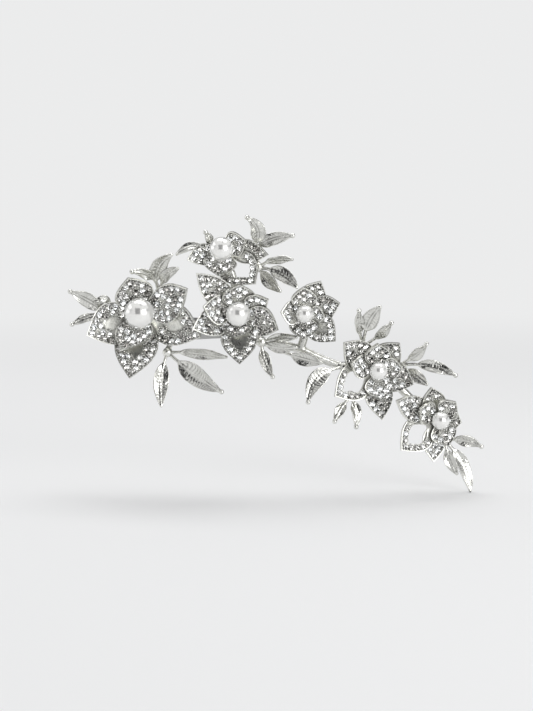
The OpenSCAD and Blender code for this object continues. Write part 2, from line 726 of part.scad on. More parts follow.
// ---- the jaw is a bent strip: its centre line, then the strip around it ----
function bezier(a, b, c, d, u) = let(v = 1 - u)
    a * v * v * v + 3 * b * u * v * v + 3 * c * u * u * v + d * u * u * u;
jaw_top = mouth_h + sheet_t / 2;
strip_mid = [pivot_x, strip_y + sheet_t / 2];
lever_bow = 0.78;
lever_end = [tail_x, strip_mid.y + lever_reach * tan(lever_angle) * lever_bow];
jaw_tip = [tip_x - sheet_t, bite_gap + sheet_t / 3];
arch_start = [pivot_x + 10, jaw_top + 2.2];
arch_end = [tip_x - 6, jaw_top + 2.6];
bend_foot = [pivot_x - lever_reach / 3, strip_mid.y];
bend_head = [pivot_x - lever_reach * 0.6, strip_mid.y + 2];
jaw_steps = 12;
jaw_front = [for (i = [0 : jaw_steps])
    bezier(strip_mid, arch_start, arch_end, jaw_tip, i / jaw_steps)];
jaw_back = [for (i = [jaw_steps : -1 : 1])
    bezier(strip_mid, bend_foot, bend_head, lever_end, i / jaw_steps)];
jaw_line = concat(jaw_back, jaw_front);
function strip_edge(line, t) = [for (i = [0 : len(line) - 1]) let(
    d = line[min(i + 1, len(line) - 1)] - line[max(i - 1, 0)])
    line[i] + t * [-d.y, d.x] / norm(d)];
function strip(line, t) = concat(strip_edge(line, t / 2),
    [for (i = [len(line) - 1 : -1 : 0]) strip_edge(line, -t / 2)[i]]);
tooth_count = 4;
tooth_w = tip_w / tooth_count;
tooth_h = 1.1;
notch_run = 5;

// the notch between two teeth, cut along the strip from its tip
module tooth_notch(z) {
    translate([tip_x - 3, bite_gap - 0.1, z])
        rotate([0, 90, 0])
            linear_extrude(height = notch_run)
                polygon([[-tooth_w / 2, -1], [tooth_w / 2, -1], [0, tooth_h]]);
}

module clip_jaw() {
    color(steel) {
        difference() {
            intersection() {
                linear_extrude(height = blade_w, center = true)
                    polygon(strip(jaw_line, sheet_t));
                translate([0, 20, 0])
                    rotate([90, 0, 0])
                        linear_extrude(height = 30)
                            blade_plan(blade_w, tip_w);
            }
            for (i = [0 : tooth_count - 2])
                tooth_notch((i - (tooth_count - 2) / 2) * tooth_w);
        }
        ear_pair(jaw_ear_z, strip_y + sheet_t / 2, pin_d + 2 * hinge_gap);
    }
}

pin_head_d = pin_d + 0.9;
pin_head_t = 0.5;

module clip_hinge_pin() {
    half = blade_w / 2 + solder_gap;
    color(bright)
        translate([pivot_x, pin_h, 0])
            rotate_extrude()
                polygon([[0, -half - pin_head_t], [pin_head_d / 2, -half - pin_head_t],
                    [pin_head_d / 2, -half], [pin_d / 2, -half], [pin_d / 2, half],
                    [pin_head_d / 2, half], [pin_head_d / 2, half + pin_head_t],
                    [0, half + pin_head_t]]);
}

// ---- torsion spring: fixed leg, coil around the pin, leg under the jaw's lever ----
coil_clear = 0.15;
coil_r = pin_d / 2 + coil_clear + wire_d / 2;
coil_pitch = wire_d + 0.08;
leg_share = 0.66;
leg_reach = lever_reach * leg_share;
leg_lift = 0.08;
fixed_end = [-leg_reach, wire_d / 2 + leg_lift - pin_h];
// the moving leg lies along the underside of the lever
lever_under = [for (p = strip_edge(jaw_back, -sheet_t / 2 - wire_d / 2 - leg_lift))
    if (p.x > pivot_x - leg_reach && p.x < pivot_x - ear_r) [p.x - pivot_x, p.y - pin_h]];
moving_end = lever_under[len(lever_under) - 1];
fixed_start = atan2(fixed_end.y, fixed_end.x) + acos(coil_r / norm(fixed_end));
moving_start = atan2(moving_end.y, moving_end.x) - acos(coil_r / norm(moving_end));
coil_sweep = 360 * coil_turns + (moving_start - fixed_start + 720) % 360;
coil_steps = 12 * coil_turns + 5;
coil_height = coil_pitch * coil_sweep / 360;
spring_path = concat(
    [[fixed_end.x, fixed_end.y, -coil_height / 2]],
    [for (i = [0 : coil_steps]) let(a = fixed_start + coil_sweep * i / coil_steps)
        [coil_r * cos(a), coil_r * sin(a), coil_height * (i / coil_steps - 0.5)]],
    [for (i = [len(lever_under) - 1 : -1 : 0])
        [lever_under[i].x, lever_under[i].y, coil_height / 2]]);
wire_sides = 8;
function wire_ring(path, i) = let(
    d = path[min(i + 1, len(path) - 1)] - path[max(i - 1, 0)],
    t = d / norm(d),
    out = cross(t, [0, 0, 1]) / norm(cross(t, [0, 0, 1])),
    up = cross(out, t))
    [for (k = [0 : wire_sides - 1]) let(a = 360 * k / wire_sides)
        path[i] + wire_d / 2 * (out * cos(a) + up * sin(a))];

module clip_spring() {
    color(steel)
        translate([pivot_x, pin_h, 0])
            polyhedron(
                points = [for (i = [0 : len(spring_path) - 1]) each wire_ring(spring_path, i)],
                faces = skin_faces(len(spring_path), wire_sides));
}

outer_petals(flower_a);  // flower_a_outer_petals
inner_petals(flower_a);  // flower_a_inner_petals
stones(flower_a);  // flower_a_stones
pearl(flower_a);  // flower_a_pearl
outer_petals(flower_b);  // flower_b_outer_petals
inner_petals(flower_b);  // flower_b_inner_petals
stones(flower_b);  // flower_b_stones
pearl(flower_b);  // flower_b_pearl
outer_petals(flower_c);  // flower_c_outer_petals
inner_petals(flower_c);  // flower_c_inner_petals
stones(flower_c);  // flower_c_stones
pearl(flower_c);  // flower_c_pearl
outer_petals(flower_d);  // flower_d_outer_petals
inner_petals(flower_d);  // flower_d_inner_petals
stones(flower_d);  // flower_d_stones
pearl(flower_d);  // flower_d_pearl
outer_petals(flower_e);  // flower_e_outer_petals
inner_petals(flower_e);  // flower_e_inner_petals
stones(flower_e);  // flower_e_stones
pearl(flower_e);  // flower_e_pearl
outer_petals(flower_f);  // flower_f_outer_petals
inner_petals(flower_f);  // flower_f_inner_petals
stones(flower_f);  // flower_f_stones
pearl(flower_f);  // flower_f_pearl
sprig(sprig_far_left);
sprig(sprig_upper_left);
sprig(sprig_top_left);
sprig(sprig_top);
sprig(sprig_top_right);
sprig(sprig_upper_tail);
sprig(sprig_right_tail);
sprig(sprig_tail_end);
sprig(sprig_lower_left);
sprig(sprig_lower_middle);
sprig(sprig_lower_right);
sprig(sprig_lower_tail);
back_frame();
clip_fixed_blade();
clip_jaw();
clip_hinge_pin();
clip_spring();
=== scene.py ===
"""Looks of a sprung hair clip with stone-set flowers, pearls and cast leaves.

The file is laid out as an add-on: each operator dresses one group of pieces on the CAD frame,
and main() runs them in order. Lengths are in metres where nothing else is said.
"""
import itertools
import random
from math import acos, asin, atan, atan2, cos, exp, pi, radians, sin, tan, tau

import bmesh
import bpy
import numpy as np
from bpy.props import FloatProperty, FloatVectorProperty, IntProperty, PointerProperty
from mathutils import Matrix, Vector
from mathutils.bvhtree import BVHTree


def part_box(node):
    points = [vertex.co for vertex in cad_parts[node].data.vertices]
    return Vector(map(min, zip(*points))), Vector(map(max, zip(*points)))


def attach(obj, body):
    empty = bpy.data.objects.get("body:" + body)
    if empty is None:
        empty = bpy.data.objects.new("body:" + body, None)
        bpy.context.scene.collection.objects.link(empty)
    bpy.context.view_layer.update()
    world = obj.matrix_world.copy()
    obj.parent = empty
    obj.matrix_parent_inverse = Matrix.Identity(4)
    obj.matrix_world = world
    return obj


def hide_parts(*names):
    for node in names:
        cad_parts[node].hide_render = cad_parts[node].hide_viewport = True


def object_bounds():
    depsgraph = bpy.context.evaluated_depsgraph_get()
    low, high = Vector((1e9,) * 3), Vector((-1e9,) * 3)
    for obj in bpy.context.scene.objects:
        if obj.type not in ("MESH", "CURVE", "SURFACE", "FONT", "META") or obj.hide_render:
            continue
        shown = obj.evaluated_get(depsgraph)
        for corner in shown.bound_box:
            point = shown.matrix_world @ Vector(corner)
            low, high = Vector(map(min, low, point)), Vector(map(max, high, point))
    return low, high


bl_info = {
    "name": "Rhinestone Hair Clip",
    "version": (1, 0, 0),
    "blender": (4, 5, 0),
    "location": "View3D > Sidebar > Hair Clip",
    "description": "Cuts the stones, casts the leaves, plates the metal and lights a hair clip",
    "category": "Object",
}

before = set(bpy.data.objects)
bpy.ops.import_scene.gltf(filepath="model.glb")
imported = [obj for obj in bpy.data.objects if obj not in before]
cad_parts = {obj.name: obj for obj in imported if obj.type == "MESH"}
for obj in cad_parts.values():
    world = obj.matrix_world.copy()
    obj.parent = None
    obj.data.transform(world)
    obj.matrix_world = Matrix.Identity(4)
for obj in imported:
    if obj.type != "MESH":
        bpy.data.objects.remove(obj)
cad_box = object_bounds()
MM = 0.001
FLOWERS = "abcdef"
WHORLS = ("outer", "inner")
ORNAMENT = "ornament"
JAW = "jaw"
# Name of the mesh attribute that carries the shade painted into the leaf furrows and creases
GROOVE = "groove"

# Sizes of the solids that the new pieces are fitted to, in mm: sheet of the clip, gaps of solder
# and glue, bend of the tail, pegs, spring clip (the lever's rise is a share of its length), tabs
# and their solder, and leaves
SHEET, SOLDER, GLUE = 0.8, 0.02, 0.04
BEND_START, BEND_R = 20, 250
PEG, PEG_H = 1.2, 2.2
PIVOT = Vector((-18, 3, 0))
PIN, PIN_GAP, EAR, EAR_GAP = 2, 0.15, 1.9, 0.35
LEVER, LEVER_RISE = 15, 0.78 * tan(radians(30))
WIRE, WIRE_GAP, TURNS, LEG_SHARE = 0.7, 0.08, 3, 0.66
TAB_R, TAB_T, TAB_SEAT, STEM_SEAT = 1.7, 0.8, 1.2, 2.3
SOLDER_EDGE, SOLDER_TOP = 0.3, 0.9
STALK, STALK_GAP, LEAF, FOLD, BEAD = 1.1, 0.12, 0.9, 0.34, 1.7


# ---- settings ----

class StoneSettings(bpy.types.PropertyGroup):
    """Cut and colour of the rhinestones and their prongs"""

    table: FloatProperty(name="Table", description="Radius of the table as a share of the girdle",
                         default=0.56, min=0.45, max=0.65, subtype="FACTOR")
    crown: FloatProperty(name="Crown", description="Height of the crown as a share of the stone",
                         default=0.5, min=0.3, max=0.6, subtype="FACTOR")
    pavilion: FloatProperty(name="Pavilion", subtype="FACTOR", default=0.36, min=0.2, max=0.45,
                            description="Depth of the foiled back as a share of the stone")
    prong: FloatProperty(name="Prong radius", description="Radius of one bead prong",
                         default=0.31 * MM, min=0.1 * MM, max=0.35 * MM, unit="LENGTH",
                         precision=5)
    glass: FloatVectorProperty(name="Glass", description="Tint of the cut glass", subtype="COLOR",
                               default=(0.99, 0.99, 0.985), min=0, max=1)
    foil: FloatVectorProperty(name="Foil", description="Colour of the foiled back", subtype="COLOR",
                              default=(0.95, 0.95, 0.94), min=0, max=1)


class PlateSettings(bpy.types.PropertyGroup):
    """Colours of the bright plate on the cast metal"""

    petal: FloatVectorProperty(name="Petals", description="Plate on the petals", subtype="COLOR",
                               default=(0.87, 0.87, 0.82), min=0, max=1)
    prong: FloatVectorProperty(name="Prongs", description="Plate on the beads", subtype="COLOR",
                               default=(0.96, 0.96, 0.93), min=0, max=1)
    leaf: FloatVectorProperty(name="Leaves", description="Plate on the leaves", subtype="COLOR",
                              default=(0.86, 0.86, 0.822), min=0, max=1)
    steel: FloatVectorProperty(name="Clip", description="Plate on the spring steel",
                               subtype="COLOR", default=(0.63, 0.63, 0.625), min=0, max=1)
    # Painted shade: the dark colour that hollows and leaf furrows are painted towards, which random
    # dull patches take as well
    tarnish: FloatVectorProperty(name="Tarnish", description="Colour in the hollows",
                                 subtype="COLOR", default=(0.06, 0.058, 0.048), min=0, max=1)


class PearlSettings(bpy.types.PropertyGroup):
    """Colours of the coated pearls"""

    body: FloatVectorProperty(name="Body", description="Colour of the coating", subtype="COLOR",
                              default=(0.93, 0.932, 0.915), min=0, max=1)
    edge: FloatVectorProperty(name="Edge", description="Colour towards the edge", subtype="COLOR",
                              default=(0.84, 0.845, 0.83), min=0, max=1)


class LeafSettings(bpy.types.PropertyGroup):
    """Fineness and relief of the cast leaves"""

    rings_per_mm: IntProperty(name="Rings per mm", description="Sections along a leaf, per mm",
                              default=6, min=2, max=10)
    sides: IntProperty(name="Sides", description="Points round one section",
                       default=36, min=16, max=64)
    vein: FloatProperty(name="Veins", description="Height of the side veins", unit="LENGTH",
                        default=0.065 * MM, min=0, max=0.2 * MM, precision=5)


class StageSettings(bpy.types.PropertyGroup):
    """Floor and camera"""

    floor: FloatVectorProperty(name="Floor", description="Colour of the floor", subtype="COLOR",
                               default=(0.86, 0.862, 0.865), min=0, max=1)
    elevation: FloatProperty(name="Camera elevation", description="Angle above the horizon",
                             default=radians(7), min=0, max=radians(20), subtype="ANGLE")
    focal: FloatProperty(name="Focal length", description="Focal length of the lens",
                         default=75, min=35, max=120, unit="CAMERA")


SETTINGS = {
    "clip_stones": StoneSettings,
    "clip_plate": PlateSettings,
    "clip_pearls": PearlSettings,
    "clip_leaves": LeafSettings,
    "clip_stage": StageSettings,
}


# ---- node helpers ----

class Tree:
    """The nodes of a material, a world or a node group, with short ways to add to them."""

    def __init__(self, tree):
        self.nodes, self.links = tree.nodes, tree.links

    def feed(self, socket, value):
        """Links a socket to another, or gives it a value; a colour comes without its alpha."""
        if isinstance(value, bpy.types.NodeSocket):
            self.links.new(value, socket)
        else:
            socket.default_value = (*value, 1) if socket.type == "RGBA" else value

    def set(self, node, **values):
        """Feeds input sockets by name, with _ for a space."""
        for name, value in values.items():
            self.feed(node.inputs[name.replace("_", " ")], value)

    def add(self, kind, **values):
        """A new node with its inputs fed by name."""
        node = self.nodes.new("ShaderNode" + kind)
        self.set(node, **values)
        return node

    def math(self, operation, a, b=None, clamp=False):
        """A Math node of one or two inputs, each a socket or a number."""
        node = self.add("Math")
        node.operation = operation
        node.use_clamp = clamp
        self.feed(node.inputs[0], a)
        if b is not None:
            self.feed(node.inputs[1], b)
        return node.outputs[0]

    def mix(self, share, a, b):
        """A mix of two colours; share, a and b are sockets or constants."""
        node = self.add("Mix")
        node.data_type = "RGBA"
        for socket, value in zip((node.inputs[0], node.inputs[6], node.inputs[7]), (share, a, b)):
            self.feed(socket, value)
        return node.outputs[2]

    def noise(self, place, scale, detail, roughness=0.5):
        """Noise at a place, as a value."""
        node = self.add("TexNoise", Vector=place, Scale=scale, Detail=detail, Roughness=roughness)
        return node.outputs[0]

    def band(self, value, start, end):
        """1 where a socket is past end, 0 before start, smooth between them."""
        node = self.add("MapRange", Value=value, From_Min=start, From_Max=end)
        node.interpolation_type = "SMOOTHSTEP"
        return node.outputs["Result"]

    def window(self, value, middle, reach, soft):
        """1 where a socket lies within reach of middle, 0 outside, with a soft edge."""
        away = self.math("ABSOLUTE", self.math("SUBTRACT", value, middle))
        return self.band(away, reach + soft / 2, reach - soft / 2)

    def ramp(self, value, *stops):
        """A colour ramp over a socket, from stops of position and colour in order."""
        node = self.add("ValToRGB", Fac=value)
        elements = node.color_ramp.elements
        while len(elements) < len(stops):
            elements.new(1.0)
        for element, (position, colour) in zip(elements, stops):
            element.position = position
            element.color = (*colour, 1)
        return node.outputs["Color"]

    def bump(self, height, depth_mm, strength=1.0):
        """A normal raised by a height socket."""
        node = self.add("Bump", Height=height, Distance=depth_mm * MM, Strength=strength)
        return node.outputs["Normal"]

    def vectors(self, operation, a, b=None):
        """A Vector Math node of one or two inputs."""
        node = self.add("VectorMath")
        node.operation = operation
        self.feed(node.inputs[0], a)
        if b is not None:
            self.feed(node.inputs["Scale" if operation == "SCALE" else 1], b)
        return node.outputs["Value" if operation == "LENGTH" else "Vector"]

    def object_mm(self):
        """Object coordinates in millimetres."""
        return self.vectors("SCALE", self.add("TexCoord").outputs["Object"], 1 / MM)

    def island(self):
        """A random number for each separate form of a mesh."""
        return self.add("NewGeometry").outputs["Random Per Island"]

    def ray_kinds(self):
        """Camera ray, transmission ray, and mirrored or transmitted ray, each 0 or 1."""
        path = self.add("LightPath").outputs
        through = path["Is Transmission Ray"]
        return path["Is Camera Ray"], through, self.math("MAXIMUM", path["Is Glossy Ray"], through)


def new_material(name, **values):
    """A material, its tree and its Principled shader, with sockets set by name."""
    material = bpy.data.materials.new(name)
    material.use_nodes = True
    tree = Tree(material.node_tree)
    shader = tree.nodes["Principled BSDF"]
    tree.set(shader, **values)
    return material, tree, shader


def cast_skin():
    """The node group of swells, pits and polish of cast metal, with shade painted into its hollows
    and random dull patches on it.
    """
    name = "Cast Skin"
    if name in bpy.data.node_groups:
        return bpy.data.node_groups[name]
    group = bpy.data.node_groups.new(name, "ShaderNodeTree")
    for label, kind, default in (
            ("Plate Color", "Color", (0.7, 0.7, 0.7, 1)),
            ("Tarnish Color", "Color", (0.1, 0.1, 0.1, 1)), ("Stretch", "Vector", (1, 1, 1)),
            ("Grain", "Float", 3.0), ("Polish", "Float", 0.12), ("Wear", "Float", 0.1),
            ("Depth", "Float", 0.6), ("Uneven", "Float", 0.0), ("Groove", "Float", 0.0)):
        socket = group.interface.new_socket(name=label, in_out="INPUT",
                                            socket_type="NodeSocket" + kind)
        socket.default_value = default
    for label, kind in (("Color", "Color"), ("Roughness", "Float"), ("Height", "Float")):
        group.interface.new_socket(name=label, in_out="OUTPUT", socket_type="NodeSocket" + kind)
    tree = Tree(group)
    given = tree.nodes.new("NodeGroupInput").outputs
    end = tree.nodes.new("NodeGroupOutput")

    place = tree.vectors("MULTIPLY", tree.object_mm(), given["Stretch"])
    swell = tree.noise(place, 0.9, 2.0)
    grain = tree.noise(place, given["Grain"], 4.0, 0.6)
    patch = tree.noise(place, 0.3, 1.0)

    # Painted shade: ambient occlusion darkens the hollows towards the dark colour, as strongly as
    # Depth says
    hollow = tree.add("AmbientOcclusion", Distance=0.9 * MM)
    hollow.samples = 6
    lit = tree.math("POWER", hollow.outputs["AO"], 2.5)
    dark = tree.math("SUBTRACT", 1.0, lit, clamp=True)
    dark = tree.math("MULTIPLY", dark, given["Depth"], clamp=True)
    # Random dull patches, a real uneven tone of the plate, darken towards the same colour
    dull = tree.math("ADD", tree.band(patch, 0.45, 0.6), tree.island())
    dull = tree.math("ADD", dull, tree.band(grain, 0.5, 0.7))
    dull = tree.math("MULTIPLY", dull, given["Uneven"])
    # Painted shade along the leaf furrows and creases comes in from the mesh here
    dull = tree.math("MAXIMUM", dull, given["Groove"])
    dark = tree.math("MAXIMUM", dark, dull, clamp=True)

    rough = given["Polish"]
    for share, weight in ((swell, given["Wear"]), (grain, given["Wear"]), (dark, 0.3)):
        rough = tree.math("ADD", rough, tree.math("MULTIPLY", share, weight))
    height = tree.math("ADD", tree.math("MULTIPLY", swell, 0.7), tree.math("MULTIPLY", grain, 0.3))
    # The plate colour runs to the dark colour where the painted shade and the dull patches call for
    # it
    tree.set(end, Roughness=rough, Height=height,
             Color=tree.mix(dark, given["Plate Color"], given["Tarnish Color"]))
    return group


# Finish of each plated part: its colour in the settings, the height of its bump in mm, and its own
# values of the cast skin, whose Depth sets how strongly shade is painted into the hollows
FINISHES = {
    "petal_plate": ("petal", 0.05, dict(Polish=0.1, Wear=0.14, Depth=1.0, Grain=4.0, Uneven=0.14)),
    "prong_plate": ("prong", 0.005, dict(Polish=0.05, Wear=0.1, Depth=0.35, Grain=5.0)),
    "frame_plate": ("leaf", 0.12, dict(Polish=0.05, Wear=0.08, Depth=1.0, Grain=2.0, Uneven=0.13)),
    "leaf_plate": ("leaf", 0.26, dict(Polish=0.04, Wear=0.04, Depth=1.0, Grain=1.6, Uneven=0.13)),
    "clip_steel": ("steel", 0.03, dict(Polish=0.12, Wear=0.3, Depth=0.6, Grain=6.0, Uneven=0.1,
                                       Stretch=(0.04, 1, 1))),
    "spring_wire": ("steel", 0.004, dict(Polish=0.14, Wear=0.1, Depth=0.5, Grain=5.0)),
}


def plate_material(name, grooved=False):
    """Bright plate over cast or stamped metal, with shade painted into its hollows, and along the
    leaf furrows where the mesh carries that painted shade.
    """
    colour, bump_mm, values = FINISHES[name]
    plate = bpy.context.scene.clip_plate
    material, tree, shader = new_material(name, Metallic=1.0, IOR=1.9)
    skin = tree.add("Group")
    skin.node_tree = cast_skin()
    tree.set(skin, Plate_Color=getattr(plate, colour), Tarnish_Color=plate.tarnish, **values)
    if grooved:
        # The painted shade of the leaf furrows and creases, read from the mesh
        groove = tree.add("Attribute")
        groove.attribute_name = GROOVE
        tree.set(skin, Groove=groove.outputs["Fac"])
    tree.set(shader, Base_Color=skin.outputs["Color"], Roughness=skin.outputs["Roughness"],
             Normal=tree.bump(skin.outputs["Height"], bump_mm))
    return material


def glass_material(colour):
    """Clear cut glass of the crowns, each stone a little different in tint."""
    material, tree, shader = new_material("cut_glass", Roughness=0.0, IOR=1.56, Metallic=0.0,
                                          Transmission_Weight=1.0)
    red, green, blue = colour
    tree.set(shader, Base_Color=tree.ramp(
        tree.island(), (0.0, (red, green * 0.985, blue * 0.95)), (0.5, colour),
        (1.0, (red * 0.96, green * 0.98, blue))))
    return material


def foil_material(colour):
    """Mirror foil on the backs of the stones, from dull ones to bright."""
    material, tree, shader = new_material("stone_foil", Metallic=1.0, IOR=1.9)
    stone = tree.island()
    dull = (colour[0] * 0.25, colour[1] * 0.245, colour[2] * 0.24)
    tree.set(shader, Base_Color=tree.ramp(stone, (0.0, dull), (0.55, colour)),
             Roughness=tree.math("MULTIPLY", stone, 0.06))
    return material


def pearl_material(colours):
    """Pearlescent coating over a bead, under clear lacquer."""
    material, tree, shader = new_material("pearl_coating", Metallic=0.6, IOR=1.53, Coat_Weight=0.5,
                                          Coat_Roughness=0.06, Coat_IOR=1.5)
    place = tree.object_mm()
    cloud = tree.noise(place, 0.35, 3.0)
    speck = tree.math("MULTIPLY", tree.noise(place, 9.0, 2.0), 0.08)
    red, green, blue = colours.body
    blush = tree.mix(cloud, colours.body, (red, green * 0.985, blue * 0.975))
    edge = tree.add("LayerWeight", Blend=0.3).outputs["Facing"]
    tree.set(shader, Base_Color=tree.mix(edge, blush, colours.edge),
             Roughness=tree.math("ADD", speck, 0.1), Normal=tree.bump(cloud, 0.008, 0.6))
    return material


# ---- mesh helpers ----

def new_piece(name, vertices, faces, body, materials, face_slots=None, smooth=True):
    """A mesh object that rides on a body and wears the materials it is given."""
    mesh = bpy.data.meshes.new(name)
    mesh.from_pydata([tuple(v) for v in vertices], [], faces)
    for material in materials:
        mesh.materials.append(material)
    mesh.polygons.foreach_set("use_smooth", [smooth] * len(mesh.polygons))
    if face_slots is not None:
        mesh.polygons.foreach_set("material_index", face_slots)
    mesh.validate()
    mesh.update()
    piece = bpy.data.objects.new(name, mesh)
    bpy.context.scene.collection.objects.link(piece)
    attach(piece, body)
    return piece


def coat(node, material):
    """Gives a CAD node its material, and returns its object."""
    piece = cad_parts[node]
    piece.data.materials.clear()
    piece.data.materials.append(material)
    return piece


def dress(node, material, bevel_mm):
    """Coats a CAD node and takes the sharpness off its edges."""
    piece = coat(node, material)
    piece.data.polygons.foreach_set("use_smooth", [True] * len(piece.data.polygons))
    weld = piece.modifiers.new("Weld", "WELD")
    weld.merge_threshold = 0.002 * MM
    bevel = piece.modifiers.new("Edges", "BEVEL")
    bevel.width = bevel_mm * MM
    bevel.segments = 2
    bevel.limit_method = "ANGLE"
    bevel.angle_limit = radians(28)
    normals = piece.modifiers.new("Normals", "WEIGHTED_NORMAL")
    normals.keep_sharp = True


def circle(radius, z, sides, turn=0.0):
    """Points of a level circle about Z."""
    return [(radius * cos(turn + tau * i / sides), radius * sin(turn + tau * i / sides), z)
            for i in range(sides)]


def quads(base, rings, sides):
    """The faces between rings of points that follow each other from base on."""
    return [[a + i, a + (i + 1) % sides, a + sides + (i + 1) % sides, a + sides + i]
            for a in range(base, base + (rings - 1) * sides, sides) for i in range(sides)]


def turned(profile, top, sides):
    """Points and faces of a form turned about Z, from radius and level of each ring to its top."""
    points = [p for radius, z in profile for p in circle(radius, z, sides)]
    last = len(points) - sides
    faces = [list(range(sides))[::-1]] + quads(0, len(profile), sides)
    faces += [[last + i, last + (i + 1) % sides, last + sides] for i in range(sides)]
    return points + [(0, 0, top)], faces


def add_form(points, faces, form_points, form_faces):
    """Adds a form to lists of points and faces."""
    base = len(points)
    points += form_points
    faces += [[base + i for i in face] for face in form_faces]


def dome(radius, bottom, foot, height, sides, rings):
    """Points and faces of a dome that is upright from its flat bottom to its foot."""
    profile = [(radius, bottom)]
    for j in range(rings):
        lat = pi / 2 * j / rings
        profile.append((radius * cos(lat), foot + (height - foot) * sin(lat)))
    return turned(profile, height, sides)


def loose_parts(node):
    """The separate solids of a CAD node, each as an array of its points."""
    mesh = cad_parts[node].data
    points = np.empty(len(mesh.vertices) * 3)
    mesh.vertices.foreach_get("co", points)
    keys, first = np.unique(np.round(points.reshape(-1, 3) / MM, 3), axis=0, return_inverse=True)
    first = np.ravel(first)
    parent = list(range(len(keys)))

    def root(i):
        while parent[i] != i:
            parent[i] = parent[parent[i]]
            i = parent[i]
        return i

    for edge in mesh.edges:
        a, b = root(first[edge.vertices[0]]), root(first[edge.vertices[1]])
        parent[max(a, b)] = min(a, b)
    groups = {}
    for i in range(len(keys)):
        groups.setdefault(root(i), []).append(i)
    return [keys[members] * MM for members in groups.values()]


def stone_seats(node):
    """Middle of the flat back, axis, height and radius of each stone of a node."""
    seats = []
    for points in loose_parts(node):
        middle = points.mean(axis=0)
        spread = points - middle
        axis = np.linalg.svd(spread, full_matrices=False)[2][2]
        rise = spread @ axis
        radius = np.linalg.norm(spread - np.outer(rise, axis), axis=1)
        if np.dot(rise, radius - radius.mean()) > 0:
            axis, rise = -axis, -rise
        seats.append((Vector(middle + axis * rise.min()), Vector(axis),
                      float(rise.max() - rise.min()), float(radius.max())))
    return seats


# ---- stones and prongs ----

# Facets round the table, tips of star and lower facets and the culet as shares of the stone,
# and how far it may lean in its seat
STONE_FACETS, STAR_R, LOWER_R, CULET, STONE_LEAN = 6, 0.8, 0.46, 0.05, 0.07
# Prongs of a stone: number, place out and up in its radius and height, least distance from each
# other in prong radii and from a stone in its radii, and depth of the root
PRONGS, PRONG_R, PRONG_UP, PRONG_ROOM, STONE_ROOM, PRONG_ROOT = 6, 1.1, 0.4, 1.9, 1.02, -1.2
# Grains on the bare bed: distances from a stone in its radii, trials at each, least distance and
# level room in radii
GRAIN_R, GRAIN_TRIALS, GRAIN_ROOM, GRAIN_BED = (1.35, 1.55, 1.8), 16, 1.8, 1.2
# Heights of the prongs and sizes of the grains, in prong radii
PRONG_TALL, GRAIN_SIZE = (0.9, 1.25), (0.8, 1.2)
# Reach down to the bed, and how level it has to be, in mm
BED_DEPTH, BED_LEVEL = 2.2, 0.14
STONE_SEED, PRONG_SEED = 7, 11


def brilliant(settings, height, radius):
    """Points, crown faces and back faces of one brilliant that stands on z = 0."""
    n = STONE_FACETS
    step = tau / n
    girdle_low = height * settings.pavilion
    girdle_top = height * (1 - settings.crown)
    culet = height * CULET
    flat = cos(step / 2)
    star_z = girdle_top + (height - girdle_top) * (1 - STAR_R * flat) / (1 - settings.table)
    lower_z = culet + (girdle_low - culet) * LOWER_R * flat
    points = circle(radius * settings.table, height, n)
    points += circle(radius * STAR_R, star_z, n, step / 2)
    points += circle(radius, girdle_top, 2 * n) + circle(radius, girdle_low, 2 * n)
    points += circle(radius * LOWER_R, lower_z, n, step / 2) + [(0, 0, culet)]
    star, top, low, lower, tip = n, 2 * n, 4 * n, 6 * n, 7 * n
    shift = low - top
    crown, back = [list(range(n))], []
    for k in range(n):
        before, after = (k - 1) % n, (k + 1) % n
        corner, middle, end = top + 2 * k, top + 2 * k + 1, top + 2 * after
        crown += [[k, star + k, after], [k, star + before, corner, star + k],
                  [star + k, corner, middle], [star + k, middle, end],
                  [corner, corner + shift, middle + shift, middle],
                  [middle, middle + shift, end + shift, end]]
        back += [[tip, lower + k, corner + shift, lower + before],
                 [lower + k, middle + shift, corner + shift],
                 [lower + k, end + shift, middle + shift]]
    return points, crown, back


def stand_on(foot, axis, turn):
    """The matrix that stands a thing on foot with its Z along axis, turned about it."""
    lean = Vector((0, 0, 1)).rotation_difference(axis).to_matrix().to_4x4()
    return Matrix.Translation(foot) @ lean @ Matrix.Rotation(turn, 4, "Z")


class HAIRCLIP_OT_stones(bpy.types.Operator):
    """Cut brilliants with foiled backs, in place of the plain stones"""

    bl_idname = "hairclip.stones"
    bl_label = "Stones"

    def execute(self, context):
        settings = context.scene.clip_stones
        materials = [glass_material(settings.glass), foil_material(settings.foil)]
        draw = random.Random(STONE_SEED)
        for flower in FLOWERS:
            node = f"flower_{flower}_stones"
            points, faces, slots = [], [], []
            for foot, axis, height, radius in stone_seats(node):
                shape, crown, back = brilliant(settings, height, radius)
                tilt = Vector([draw.uniform(-1, 1) for _ in range(3)]) * STONE_LEAN
                place = stand_on(foot, (axis + tilt).normalized(), draw.uniform(0, tau))
                add_form(points, faces, [place @ Vector(p) for p in shape], crown + back)
                slots += [0] * len(crown) + [1] * len(back)
            piece = new_piece(f"flower_{flower}_brilliants", points, faces, ORNAMENT,
                              materials, slots, smooth=False)
            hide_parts(node)
        return {"FINISHED"}


def petal_faces(flower):
    """A search tree of the faces of a flower's petals."""
    points, faces = [], []
    for whorl in WHORLS:
        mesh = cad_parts[f"flower_{flower}_{whorl}_petals"].data
        add_form(points, faces, [v.co.copy() for v in mesh.vertices],
                 [face.vertices for face in mesh.polygons])
    return BVHTree.FromPolygons(points, faces)


